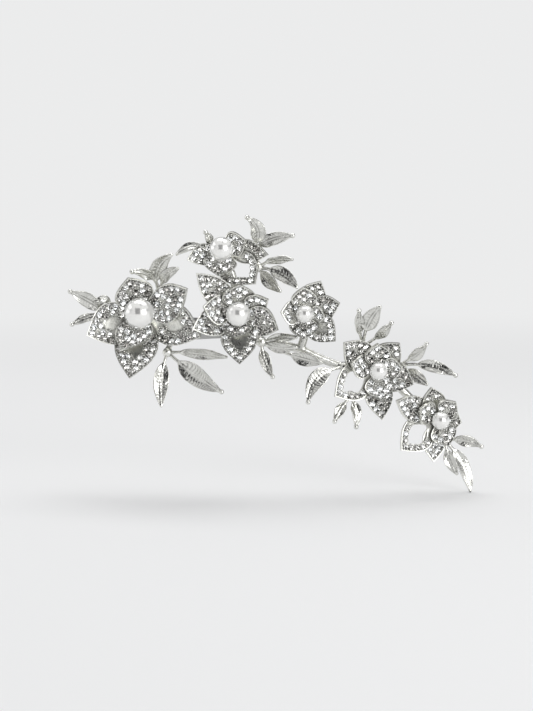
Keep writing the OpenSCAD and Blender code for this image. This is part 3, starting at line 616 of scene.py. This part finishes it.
def bed_under(petals, spot, axis, room):
    """The point of the bed below spot, or None where the bed is not level for room around."""
    side = axis.orthogonal().normalized()
    across = axis.cross(side)
    hits = []
    for step in (Vector(), side, -side, across, -across):
        hit, _, _, depth = petals.ray_cast(spot + step * room + axis * MM, -axis, BED_DEPTH * MM)
        if hit is None:
            return None
        hits.append((hit, depth))
        if abs(depth - hits[0][1]) > BED_LEVEL * MM:
            return None
    return hits[0][0]


def near(spot, others, room):
    """Whether one of the other places lies closer to spot than room."""
    return any((spot - other).length < room for other in others)


class HAIRCLIP_OT_prongs(bpy.types.Operator):
    """Raise the bead prongs that hold the stones, and the grains on the bed between them"""

    bl_idname = "hairclip.prongs"
    bl_label = "Prongs"

    def execute(self, context):
        size = context.scene.clip_stones.prong
        material = plate_material("prong_plate")
        shape, shape_faces = dome(1, PRONG_ROOT, 0, 1, sides=10, rings=4)
        draw = random.Random(PRONG_SEED)
        for flower in FLOWERS:
            seats = stone_seats(f"flower_{flower}_stones")
            centres = [foot + axis * height * PRONG_UP for foot, axis, height, radius in seats]
            kept, points, faces = [], [], []

            def grow(spot, axis, wide, tall):
                kept.append(spot)
                stand = stand_on(spot, axis, 0)
                prong = [stand @ Vector((x * wide, y * wide, z * tall)) for x, y, z in shape]
                add_form(points, faces, prong, shape_faces)

            for (foot, axis, height, radius), centre in zip(seats, centres):
                turn = draw.uniform(0, tau)
                for k in range(PRONGS):
                    place = stand_on(centre, axis, turn + k * tau / PRONGS)
                    spot = place @ Vector((radius * PRONG_R, 0, 0))
                    if not (near(spot, kept, size * PRONG_ROOM)
                            or near(spot, centres, radius * STONE_ROOM)):
                        grow(spot, axis, size, size * draw.uniform(*PRONG_TALL))
            petals = petal_faces(flower)
            for (foot, axis, height, radius), centre in zip(seats, centres):
                for reach, k in itertools.product(GRAIN_R, range(GRAIN_TRIALS)):
                    turn = (k + draw.random()) * tau / GRAIN_TRIALS
                    spot = stand_on(centre, axis, turn) @ Vector((radius * reach, 0, 0))
                    wide = size * draw.uniform(*GRAIN_SIZE)
                    spot = bed_under(petals, spot, axis, wide * GRAIN_BED)
                    if not (spot is None or near(spot, kept, size * GRAIN_ROOM)
                            or near(spot, centres, radius + wide)):
                        grow(spot, axis, wide, wide)
            new_piece(f"flower_{flower}_prongs", points, faces, ORNAMENT, [material])
        return {"FINISHED"}


# ---- petals, pearls, back frame and clip ----

class HAIRCLIP_OT_petals(bpy.types.Operator):
    """Plate the cast petals"""

    bl_idname = "hairclip.petals"
    bl_label = "Petals"

    def execute(self, context):
        material = plate_material("petal_plate")
        for flower in FLOWERS:
            for whorl in WHORLS:
                dress(f"flower_{flower}_{whorl}_petals", material, bevel_mm=0.06)
        return {"FINISHED"}


def on_spray(x, z):
    """The frame of a place on the spray: X along it, Y up and Z towards the viewer, in mm."""
    over = max(0, x - BEND_START)
    back = over * over / (2 * BEND_R)
    turn = Matrix.Rotation(atan(over / BEND_R), 4, "Z") @ Matrix.Rotation(pi / 2, 4, "X")
    return Matrix.Translation((x, back - SHEET - SOLDER, z)) @ turn


def bored_pearl(radius, sides=64, rings=40):
    """Points and faces of a pearl about Z, drilled from below for its peg, in mm."""
    bore, end = PEG / 2 + GLUE, PEG_H + 2 * GLUE - radius
    mouth = asin(bore / radius)
    profile = [(bore, end)]
    for j in range(rings):
        lat = mouth + (pi - mouth) * j / rings
        profile.append((radius * sin(lat), -radius * cos(lat)))
    return turned(profile, radius, sides)


class HAIRCLIP_OT_pearls(bpy.types.Operator):
    """Drill and coat the pearls"""

    bl_idname = "hairclip.pearls"
    bl_label = "Pearls"

    def execute(self, context):
        material = pearl_material(context.scene.clip_pearls)
        for flower in FLOWERS:
            node = f"flower_{flower}_pearl"
            low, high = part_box(node)
            centre, radius = (low + high) / 2, (high.z - low.z) / 2
            turn = on_spray(centre.x / MM, centre.z / MM).to_3x3() * MM
            points, faces = bored_pearl(radius / MM)
            points = [centre + turn @ Vector(p) for p in points]
            piece = new_piece(f"flower_{flower}_coated_pearl", points, faces, ORNAMENT,
                              [material])
            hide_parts(node)
        return {"FINISHED"}


class HAIRCLIP_OT_frame(bpy.types.Operator):
    """Plate the stem, arms and pads, with their joints run together by solder"""

    bl_idname = "hairclip.frame"
    bl_label = "Back frame"

    def execute(self, context):
        piece = coat("back_frame", plate_material("frame_plate"))
        cast = piece.modifiers.new("Cast", "REMESH")
        cast.mode = "VOXEL"
        cast.voxel_size = 0.2 * MM
        cast.use_smooth_shade = True
        flow = piece.modifiers.new("Flow", "SMOOTH")
        flow.factor = 0.5
        flow.iterations = 6
        return {"FINISHED"}


def bezier(a, b, c, d, u):
    """A point of a cubic curve."""
    v = 1 - u
    return a * v ** 3 + b * 3 * u * v * v + c * 3 * u * u * v + d * u ** 3


def lever_line(u):
    """The middle of the bent strip of the lever, from over the pin to its end, in mm."""
    start = PIVOT.xy + Vector((0, EAR + EAR_GAP + SHEET / 2))
    level, bend = Vector((-LEVER / 3, 0)), Vector((-LEVER * 0.6, 2))
    end = Vector((-LEVER, LEVER * LEVER_RISE))
    return bezier(start, start + level, start + bend, start + end, u)


def spring_paths():
    """The lines of the coil with its fixed leg, and of the leg under the lever, in mm."""
    radius = PIN / 2 + PIN_GAP + WIRE / 2
    reach = LEVER * LEG_SHARE
    low_leg = Vector((-reach, WIRE / 2 + WIRE_GAP - PIVOT.y))
    under = []
    steps = 24
    for i in range(steps + 1):
        u = i / steps
        along = (lever_line(min(1, u + 0.01)) - lever_line(max(0, u - 0.01))).normalized()
        p = lever_line(u) + Vector((-along.y, along.x)) * (SHEET / 2 + WIRE / 2 + WIRE_GAP)
        if PIVOT.x - reach < p.x < PIVOT.x - EAR:
            under.append(p - PIVOT.xy)
    first = under[0]
    start = atan2(low_leg.y, low_leg.x) + acos(radius / low_leg.length)
    end = atan2(first.y, first.x) - acos(radius / first.length)
    sweep = tau * TURNS + (end - start) % tau
    rise = (WIRE + WIRE_GAP) * sweep / tau

    def on_coil(share):
        turn = start + sweep * share
        return PIVOT + Vector((radius * cos(turn), radius * sin(turn), rise * (share - 0.5)))

    steps = 160
    coil = [PIVOT + Vector((*low_leg, -rise / 2))]
    coil += [on_coil(i / steps) for i in range(steps + 1)]
    lap, steps = 0.6 / sweep, 8
    leg = [on_coil(1 - lap + lap * i / steps) for i in range(steps + 1)]
    leg += [PIVOT + Vector((*p, rise / 2)) for p in under]
    return coil, leg


def sweep_wire(path, radius, sides=20):
    """Points and faces of a round wire along a path, with rounded ends."""
    stations = []
    for i, spot in enumerate(path):
        along = (path[min(i + 1, len(path) - 1)] - path[max(i - 1, 0)]).normalized()
        out = Vector((0, 0, 1)).cross(along).normalized()
        stations.append((spot, along, out, along.cross(out)))
    blunt, cuts = 0.05, (90, 72, 40.5)
    ends = [(max(blunt, cos(radians(cut))), sin(radians(cut))) for cut in cuts]
    spans = [(stations[0], share, -push) for share, push in ends]
    spans += [(station, 1, 0) for station in stations]
    spans += [(stations[-1], share, push) for share, push in reversed(ends)]
    points = [spot + along * (push * radius) + (out * x + up * y) * (radius * share)
              for (spot, along, out, up), share, push in spans for x, y, _ in circle(1, 0, sides)]
    last = len(points) - sides
    faces = quads(0, len(spans), sides)
    faces += [list(range(sides))[::-1], list(range(last, last + sides))]
    return points, faces


class HAIRCLIP_OT_clip(bpy.types.Operator):
    """Plate the blades, jaw and pin, and wind the spring"""

    bl_idname = "hairclip.clip"
    bl_label = "Spring clip"

    def execute(self, context):
        steel, wire = plate_material("clip_steel"), plate_material("spring_wire")
        for node in ("clip_fixed_blade", "clip_jaw", "clip_hinge_pin"):
            dress(node, steel, bevel_mm=0.08)
        coil, leg = spring_paths()
        for name, path, body in (("spring_coil", coil, ORNAMENT), ("spring_lever_leg", leg, JAW)):
            points, faces = sweep_wire(path, WIRE / 2)
            piece = new_piece(name, [p * MM for p in points], faces, body, [wire])
            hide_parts("clip_spring")
        return {"FINISHED"}


# ---- leaves ----

# Name: x and z of the tab, level of its seat, and for each leaf the x and z of its tip from the
# tab, bow, rise, breadth, share of stalk, roll in degrees and whether a bead ends it (all mm)
SPRIGS = {
    "sprig_far_left": (-34.5, 5.5, TAB_SEAT, (
        (-12.3, 7.7, -0.6, 3, 5.2, 0.2, -12, 1),
        (-5, 3.8, -3, 1.8, 3.2, 0.3, 20, 0),
        (-12, -3.3, -0.6, 2, 3, 0.3, 25, 1))),
    "sprig_upper_left": (-17.5, 12.5, TAB_SEAT, (
        (-8.7, 7.3, -2.6, 4, 3.6, 0.4, -15, 1),
        (5, 13.3, 3.2, 5, 5.4, 0.25, 12, 0),
        (7, 8.7, 1.6, 6, 3.8, 0.3, -25, 0))),
    "sprig_top_left": (-1, 27, TAB_SEAT, (
        (-1, 5.7, -0.8, 1.2, 2.8, 0.3, 20, 1),
        (-11, -2, -1.8, 0.5, 3.2, 0.15, 40, 0))),
    "sprig_top": (13.5, 27, TAB_SEAT, (
        (-1.7, 10.7, -2.6, 5, 5.2, 0.2, 20, 1),
        (13.3, 4.7, 0.8, 4, 4.6, 0.2, -22, 1))),
    "sprig_top_right": (15.5, 21, TAB_SEAT, (
        (11.7, 2.7, 1.4, 3, 3.2, 0.25, 38, 0),
        (13, -6.7, 1.6, 4, 4.8, 0.25, -15, 0),
        (7.7, -8, -0.4, 3, 4.4, 0.15, 25, 0))),
    "sprig_upper_tail": (50.5, -5.5, TAB_SEAT, (
        (-2.3, 12.3, 0.6, 4, 3.4, 0.35, 18, 1),
        (5, 14, 1.4, 5, 5.6, 0.35, -10, 0),
        (8.7, 8, -0.6, 4, 3.6, 0.4, 15, 1))),
    "sprig_right_tail": (62, -12.5, TAB_SEAT, (
        (9, 7.7, -0.8, 4, 4, 0.35, 15, 1),
        (19, -3, 1.8, 5, 4.2, 0.35, -12, 1),
        (9.7, -6.3, 0.6, 4, 4.2, 0.3, 10, 0))),
    "sprig_tail_end": (78.5, -38.5, STEM_SEAT, (
        (12, -2, 1.2, 3, 4, 0.25, 12, 1),
        (8.3, -17.7, 1.8, 3, 4.6, 0.2, -10, 0),
        (4, -11.7, -0.8, 2, 3.8, 0.25, 22, 0))),
    "sprig_lower_left": (-15, -7.5, TAB_SEAT, (
        (-1.7, -17.7, -1.2, 6, 5.2, 0.2, -12, 0),
        (18.3, -12.3, -0.6, 7, 6.8, 0.22, 10, 1),
        (20.3, -1.3, 0.6, 3, 3.8, 0.22, 20, 0))),
    "sprig_lower_middle": (16.5, -4, STEM_SEAT, (
        (3.7, -11, -0.8, 4, 3.8, 0.2, -12, 1),
        (12, -1, -1, 4, 3.6, 0.15, 12, 0),
        (12, 2, 0.5, 2.6, 3.4, 0.15, -20, 0),
        (20.5, -6.5, -0.8, 3, 4.6, 0.5, 12, 0))),
    "sprig_lower_right": (44, -12.5, STEM_SEAT, (
        (-12.7, -11, -3.4, 4, 5.6, 0.25, 12, 1),)),
    "sprig_lower_tail": (46.5, -22.5, TAB_SEAT, (
        (-6, -8, -0.5, 3, 3.4, 0.3, 15, 1),
        (1.3, -10, 0.8, 3, 3.6, 0.2, -15, 1))),
}


def smooth_step(x):
    """Eases from 0 to 1 over the same span of x."""
    x = min(1, max(0, x))
    return x * x * (3 - 2 * x)


def bell(x, middle, wide):
    """1 at middle, falling off to either side."""
    return exp(-((x - middle) / wide) ** 2)


class Leaf:
    """One leaf, in mm: its midrib is a bowed, rising line, and its blade is a cupped oval."""

    # Share of the length where it starts, rounding of its ends, and half breadth at the tip
    START, ROUND, NECK = 0.02, 0.4, 0.45
    # Shares of the blade over which it swells from the stalk and runs out to the tip, and where
    # and how much it thins towards the tip
    SHOULDER, TAPER, THIN_FROM, THIN = 0.12, 0.18, 0.8, 0.12
    # Waves of the margin: height, number, and how far one side lags the other
    WAVE, WAVES, LAG = 0.32, 1.4, 1.7
    # Midrib and rim: height, distance of the rim from the edge, and breadth
    RIB, RIB_WIDE, RIM, RIM_IN, RIM_WIDE = 0.3, 0.24, 0.12, 0.14, 0.2
    # Side veins: pitch, how far they wander, and how much shade is painted between them
    PITCH, WANDER, VEIN_DARK = 1.0, 0.12, 0.7
    # Lines of painted shade beside the midrib and inside the rim: place, breadth and how dark
    CREASE, CREASE_WIDE, CREASE_DARK = 0.42, 0.13, 0.75
    EDGE, EDGE_WIDE, EDGE_DARK = 0.34, 0.1, 0.6

    def __init__(self, tip_x, tip_z, bow, rise, breadth, stalk_share, roll, beaded):
        self.tip = Vector((tip_x, tip_z, 0))
        self.across = Vector((-tip_z, tip_x, 0)).normalized()
        self.bow, self.rise, self.breadth = bow, rise, breadth
        self.stalk_share, self.roll, self.beaded = stalk_share, radians(roll), beaded
        self.vein_share = 0.75 + 0.25 * sin(7 * breadth + roll)
        # Painted shade at each point of the outline, in the order of the points
        self.grooves = []

    def spot(self, u):
        """The midrib at share u of its length."""
        place = self.tip * u + self.across * (self.bow * 4 * u * (1 - u))
        place.z = STALK / 2 + STALK_GAP + self.rise * max(0, u) ** 1.4
        return place

    def along(self, u):
        """The way the midrib runs at share u of the length."""
        return (self.spot(u + 0.01) - self.spot(u - 0.01)).normalized()

    def on_blade(self, u):
        """The share of the blade that is reached at share u of the length."""
        return (u - self.stalk_share) / (1 - self.stalk_share)

    def half(self, u):
        """Half the breadth of the leaf at share u of its length."""
        v = max(0, self.on_blade(u))
        swell = min(1, 4.4 * v ** 0.9 * max(0, 1 - v) ** 1.25) if v > 0 else 0
        return STALK / 2 + (self.NECK - STALK / 2) * v + (self.breadth / 2 - self.NECK) * swell

    def axes(self, u):
        """Across and up at share u of the length."""
        along = self.along(u)
        side = Vector((0, 0, 1)).cross(along).normalized()
        up = along.cross(side)
        c, s = cos(self.roll * min(1, 2 * u)), sin(self.roll * min(1, 2 * u))
        return side * c + up * s, up * c - side * s

    def relief(self, v, s, half, blade, vein):
        """Height of ribs, rim and veins at share s of the half breadth, and how much shade is
        painted there.
        """
        out, inward = abs(s) * half, (1 - abs(s)) * half
        run = v * self.tip.length * (1 - self.stalk_share) - 2 * out
        flute = cos(tau * (run / self.PITCH + self.WANDER * sin(5 * v + 4 * s)))
        veined = self.vein_share * blade * smooth_step(4 * abs(s)) * smooth_step(5 * (1 - abs(s)))
        ribs = self.RIB * bell(out, 0, self.RIB_WIDE)
        ribs += self.RIM * bell(inward, self.RIM_IN, self.RIM_WIDE)
        dark = max(self.VEIN_DARK * veined * max(0, -flute) ** 1.5,
                   self.CREASE_DARK * blade * bell(out, self.CREASE, self.CREASE_WIDE),
                   self.EDGE_DARK * blade * bell(inward, self.EDGE, self.EDGE_WIDE))
        return blade * ribs + vein * veined * flute, dark

    def section(self, u, sides, vein):
        """The closed outline of the leaf across its midrib."""
        spot, (side, up) = self.spot(u), self.axes(u)
        half, v = self.half(u), self.on_blade(u)
        blade = smooth_step(v / self.SHOULDER) * smooth_step((1 - v) / self.TAPER)
        thick = STALK + (LEAF - STALK) * blade
        thick *= 1 - self.THIN * smooth_step((v - self.THIN_FROM) / (1 - self.THIN_FROM))
        raise_edge = FOLD * max(0, half - STALK / 2)
        points = []
        for k in range(sides):
            turn = tau * k / sides
            s = cos(turn)
            over = abs(s)
            wave = sin(tau * self.WAVES * v + self.breadth + (self.LAG if s > 0 else 0))
            cup = raise_edge * over ** 1.15 + self.WAVE * blade * wave * over * over
            body = 0.5 * thick * (1 - over ** (2 + 2.5 * blade)) ** 0.5
            body *= 1 - 0.3 * blade * (1 - over)
            height, dark = cup - body, 0
            if sin(turn) >= 0:
                relief, dark = self.relief(v, s, half, blade, vein)
                height = cup + body + relief
            points.append(spot + side * (half * s) + up * height)
            self.grooves.append(dark)
        return points

    def mesh(self, rings, sides, vein):
        """Points and faces of the leaf with a rounded root and tip, and its bead."""
        points, end = [], 1 - self.ROUND / self.tip.length
        for i in range(rings):
            u = self.START + (end - self.START) * i / (rings - 1)
            points += self.section(u, sides, vein)
        faces = quads(0, rings, sides)
        for first, u, step in ((0, self.START, -1), (len(points) - sides, end, 1)):
            middle, along = self.spot(u), self.along(u) * step
            loop = list(range(first, first + sides))
            for turn in (0.25 * pi, 0.425 * pi):
                base = len(points)
                points += [middle + (points[first + k] - middle) * cos(turn)
                           + along * self.ROUND * sin(turn) for k in range(sides)]
                for k in range(sides):
                    after = (k + 1) % sides
                    faces.append([loop[k], loop[after], base + after, base + k][::step])
                loop = list(range(base, base + sides))
            faces.append(loop[::step])
        if self.beaded:
            add_ball(points, faces, self.spot(1), BEAD / 2)
        return points, faces


def add_ball(points, faces, centre, radius, sides=20, rings=12):
    """Adds a closed ball to a list of points and faces."""
    base = len(points)
    points.append(centre - Vector((0, 0, radius)))
    for j in range(1, rings):
        lat = pi * j / rings
        points += [centre + radius * Vector(p) for p in circle(sin(lat), -cos(lat), sides)]
    points.append(centre + Vector((0, 0, radius)))
    top = len(points) - 1
    for i in range(sides):
        after = (i + 1) % sides
        faces.append([base, base + 1 + after, base + 1 + i])
        faces.append([top, top - sides + i, top - sides + after])
        faces += [[a + i, a + after, a + sides + after, a + sides + i]
                  for a in range(base + 1, top - sides, sides)]


class HAIRCLIP_OT_leaves(bpy.types.Operator):
    """Cast the veined leaves of each sprig, on their soldered tabs"""

    bl_idname = "hairclip.leaves"
    bl_label = "Leaves"

    def execute(self, context):
        settings = context.scene.clip_leaves
        material = plate_material("leaf_plate", grooved=True)
        for node, (x, z, seat, leaves) in SPRIGS.items():
            place = Matrix.Scale(MM, 4) @ on_spray(x, z) @ Matrix.Translation((0, 0, seat + SOLDER))
            points, faces = dome(TAB_R, 0, SOLDER_EDGE, TAB_T + SOLDER_TOP, sides=32, rings=7)
            grooves = [0] * len(points)
            for leaf in leaves:
                shape = Leaf(*leaf)
                rings = round(settings.rings_per_mm * shape.tip.length)
                form = shape.mesh(rings, settings.sides, settings.vein / MM)
                add_form(points, faces, *form)
                grooves += shape.grooves + [0] * (len(form[0]) - len(shape.grooves))
            piece = new_piece(node.replace("sprig", "leaves"), [place @ Vector(p) for p in points],
                              faces, ORNAMENT, [material])
            # Painted shade of the furrows and creases, kept on the mesh for the leaf plate
            shade = piece.data.attributes.new(GROOVE, "FLOAT", "POINT")
            shade.data.foreach_set("value", grooves)
            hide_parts(node)
        return {"FINISHED"}


# ---- stage ----

# Colour of the backdrop as the camera sees it
PALE = (0.835, 0.838, 0.84)
# Lamps: place from the middle of the clip and size in metres, and power in watts
LAMPS = {
    "key_lamp": ((0.5, -0.6, 0.2), (0.42, 0.5), 2.0),
    "fill_lamp": ((-0.75, 0.1, 0.3), (0.6, 0.6), 0.9),
    "top_lamp": ((0.05, 0.15, 0.8), (0.9, 0.4), 2.9),
}
# Camera: the place it looks at and the height in view there, in metres, and its sensor in mm
AIM, VIEW_HEIGHT, SENSOR = Vector((0.0182, -0.005, -0.0082)), 0.237, 36


def studio_world():
    """A white tent, brighter in front than behind, with the dark of the lens opening there.

    What passes through a stone meets strong light and dark patches instead, so that it sparkles.
    """
    world = bpy.data.worlds.new("studio_tent")
    world.use_nodes = True
    tree = Tree(world.node_tree)
    around = tree.add("TexCoord").outputs["Generated"]
    x, y, z = tree.add("SeparateXYZ", Vector=around).outputs
    front = tree.band(tree.math("MULTIPLY", y, -1), 0.1, 0.6)
    back = tree.math("SUBTRACT", 1.0, front)
    wall = tree.mix(tree.band(x, -0.75, 0.45), (0.7, 0.7, 0.705), (1.0, 1.0, 0.995))
    tent = tree.mix(front, (0.62, 0.62, 0.625), wall)
    tent = tree.mix(tree.band(z, 0.35, 0.7), tent, (0.74, 0.74, 0.74))
    opening = tree.math("MULTIPLY", tree.window(x, -0.13, 0.31, 0.06),
                        tree.window(z, 0.2, 0.5, 0.08))
    for side, window, dark in (
            (front, opening, (0.02, 0.02, 0.022)),
            (back, tree.window(z, 0.36, 0.09, 0.08), (0.12, 0.12, 0.125)),
            (back, tree.window(x, 0.2, 0.1, 0.1), (0.16, 0.16, 0.165))):
        tent = tree.mix(tree.math("MULTIPLY", window, side), tent, dark)
    glints = tree.mix(tree.band(tree.noise(around, 2.6, 0.0), 0.44, 0.49), (5.0, 5.0, 5.03),
                      (0.0, 0.0, 0.0))
    camera, through, mirrored = tree.ray_kinds()
    tent = tree.mix(through, tent, glints)
    light = tree.mix(mirrored, (0.55, 0.552, 0.555), tent)
    tree.set(tree.nodes["Background"], Color=tree.mix(camera, light, PALE), Strength=1.0)
    return world


def paper_material(colour):
    """White paper that runs out into the backdrop away from the piece."""
    material, tree, shader = new_material("stage_paper", Roughness=0.75, Base_Color=colour,
                                          Specular_IOR_Level=0.15)
    glow = tree.add("Emission", Color=PALE, Strength=1.0)
    far = tree.vectors("LENGTH", tree.add("TexCoord").outputs["Object"])
    camera, _, mirrored = tree.ray_kinds()
    seen = tree.math("MAXIMUM", camera, mirrored)
    fade = tree.math("MULTIPLY", tree.band(far, 0.16, 0.7), seen)
    blend = tree.add("MixShader")
    for socket, value in zip(blend.inputs, (fade, shader.outputs[0], glow.outputs[0])):
        tree.feed(socket, value)
    tree.set(tree.nodes["Material Output"], Surface=blend.outputs[0])
    return material


def stand_facing(name, data, place, aim):
    """Stands a lamp or camera at a place, facing another."""
    thing = bpy.data.objects.new(name, data)
    thing.location = place
    thing.rotation_euler = (aim - place).to_track_quat("-Z", "Y").to_euler()
    bpy.context.scene.collection.objects.link(thing)
    return thing


class HAIRCLIP_OT_stage(bpy.types.Operator):
    """Lay the floor and backdrop, hang the lamps and set the camera"""

    bl_idname = "hairclip.stage"
    bl_label = "Stage"

    def execute(self, context):
        scene, stage = context.scene, context.scene.clip_stage
        low, high = cad_box
        middle = (low + high) / 2
        paper = bmesh.new()
        bmesh.ops.create_circle(paper, cap_ends=True, radius=3, segments=96)
        mesh = bpy.data.meshes.new("paper_floor")
        paper.to_mesh(mesh)
        paper.free()
        mesh.materials.append(paper_material(stage.floor))
        floor = bpy.data.objects.new("paper_floor", mesh)
        floor.location = (middle.x, middle.y, low.z)
        scene.collection.objects.link(floor)

        scene.world = studio_world()
        for name, (offset, size, power) in LAMPS.items():
            data = bpy.data.lights.new(name, "AREA")
            data.shape = "RECTANGLE"
            data.size, data.size_y = size
            data.energy = power
            stand_facing(name, data, middle + Vector(offset), middle)

        data = bpy.data.cameras.new("camera")
        data.lens = stage.focal
        distance = VIEW_HEIGHT * stage.focal / SENSOR
        away = Vector((0, -cos(stage.elevation), sin(stage.elevation)))
        scene.camera = stand_facing("camera", data, AIM + distance * away, AIM)
        scene.view_settings.view_transform = "Standard"
        return {"FINISHED"}


class HAIRCLIP_PT_panel(bpy.types.Panel):
    """Lists the steps that dress the clip"""

    bl_idname = "HAIRCLIP_PT_panel"
    bl_label = "Hair Clip"
    bl_space_type = "VIEW_3D"
    bl_region_type = "UI"
    bl_category = "Hair Clip"

    def draw(self, context):
        for settings in SETTINGS:
            group = getattr(context.scene, settings)
            box = self.layout.box()
            for name in group.bl_rna.properties.keys():
                if name not in ("rna_type", "name"):
                    box.prop(group, name)
        for step in STEPS:
            self.layout.operator(step.bl_idname)


STEPS = (
    HAIRCLIP_OT_stones,
    HAIRCLIP_OT_petals,
    HAIRCLIP_OT_prongs,
    HAIRCLIP_OT_pearls,
    HAIRCLIP_OT_frame,
    HAIRCLIP_OT_clip,
    HAIRCLIP_OT_leaves,
    HAIRCLIP_OT_stage,
)


def register():
    """Registers the settings, operators and panel."""
    for name, settings in SETTINGS.items():
        bpy.utils.register_class(settings)
        setattr(bpy.types.Scene, name, PointerProperty(type=settings))
    for step in (*STEPS, HAIRCLIP_PT_panel):
        bpy.utils.register_class(step)


def unregister():
    """Takes the settings, operators and panel away."""
    for step in (HAIRCLIP_PT_panel, *reversed(STEPS)):
        bpy.utils.unregister_class(step)
    for name, settings in SETTINGS.items():
        delattr(bpy.types.Scene, name)
        bpy.utils.unregister_class(settings)


def main():
    """Registers the add-on and runs every step."""
    register()
    for step in STEPS:
        space, name = step.bl_idname.split(".")
        getattr(getattr(bpy.ops, space), name)()


if __name__ == "__main__":
    main()
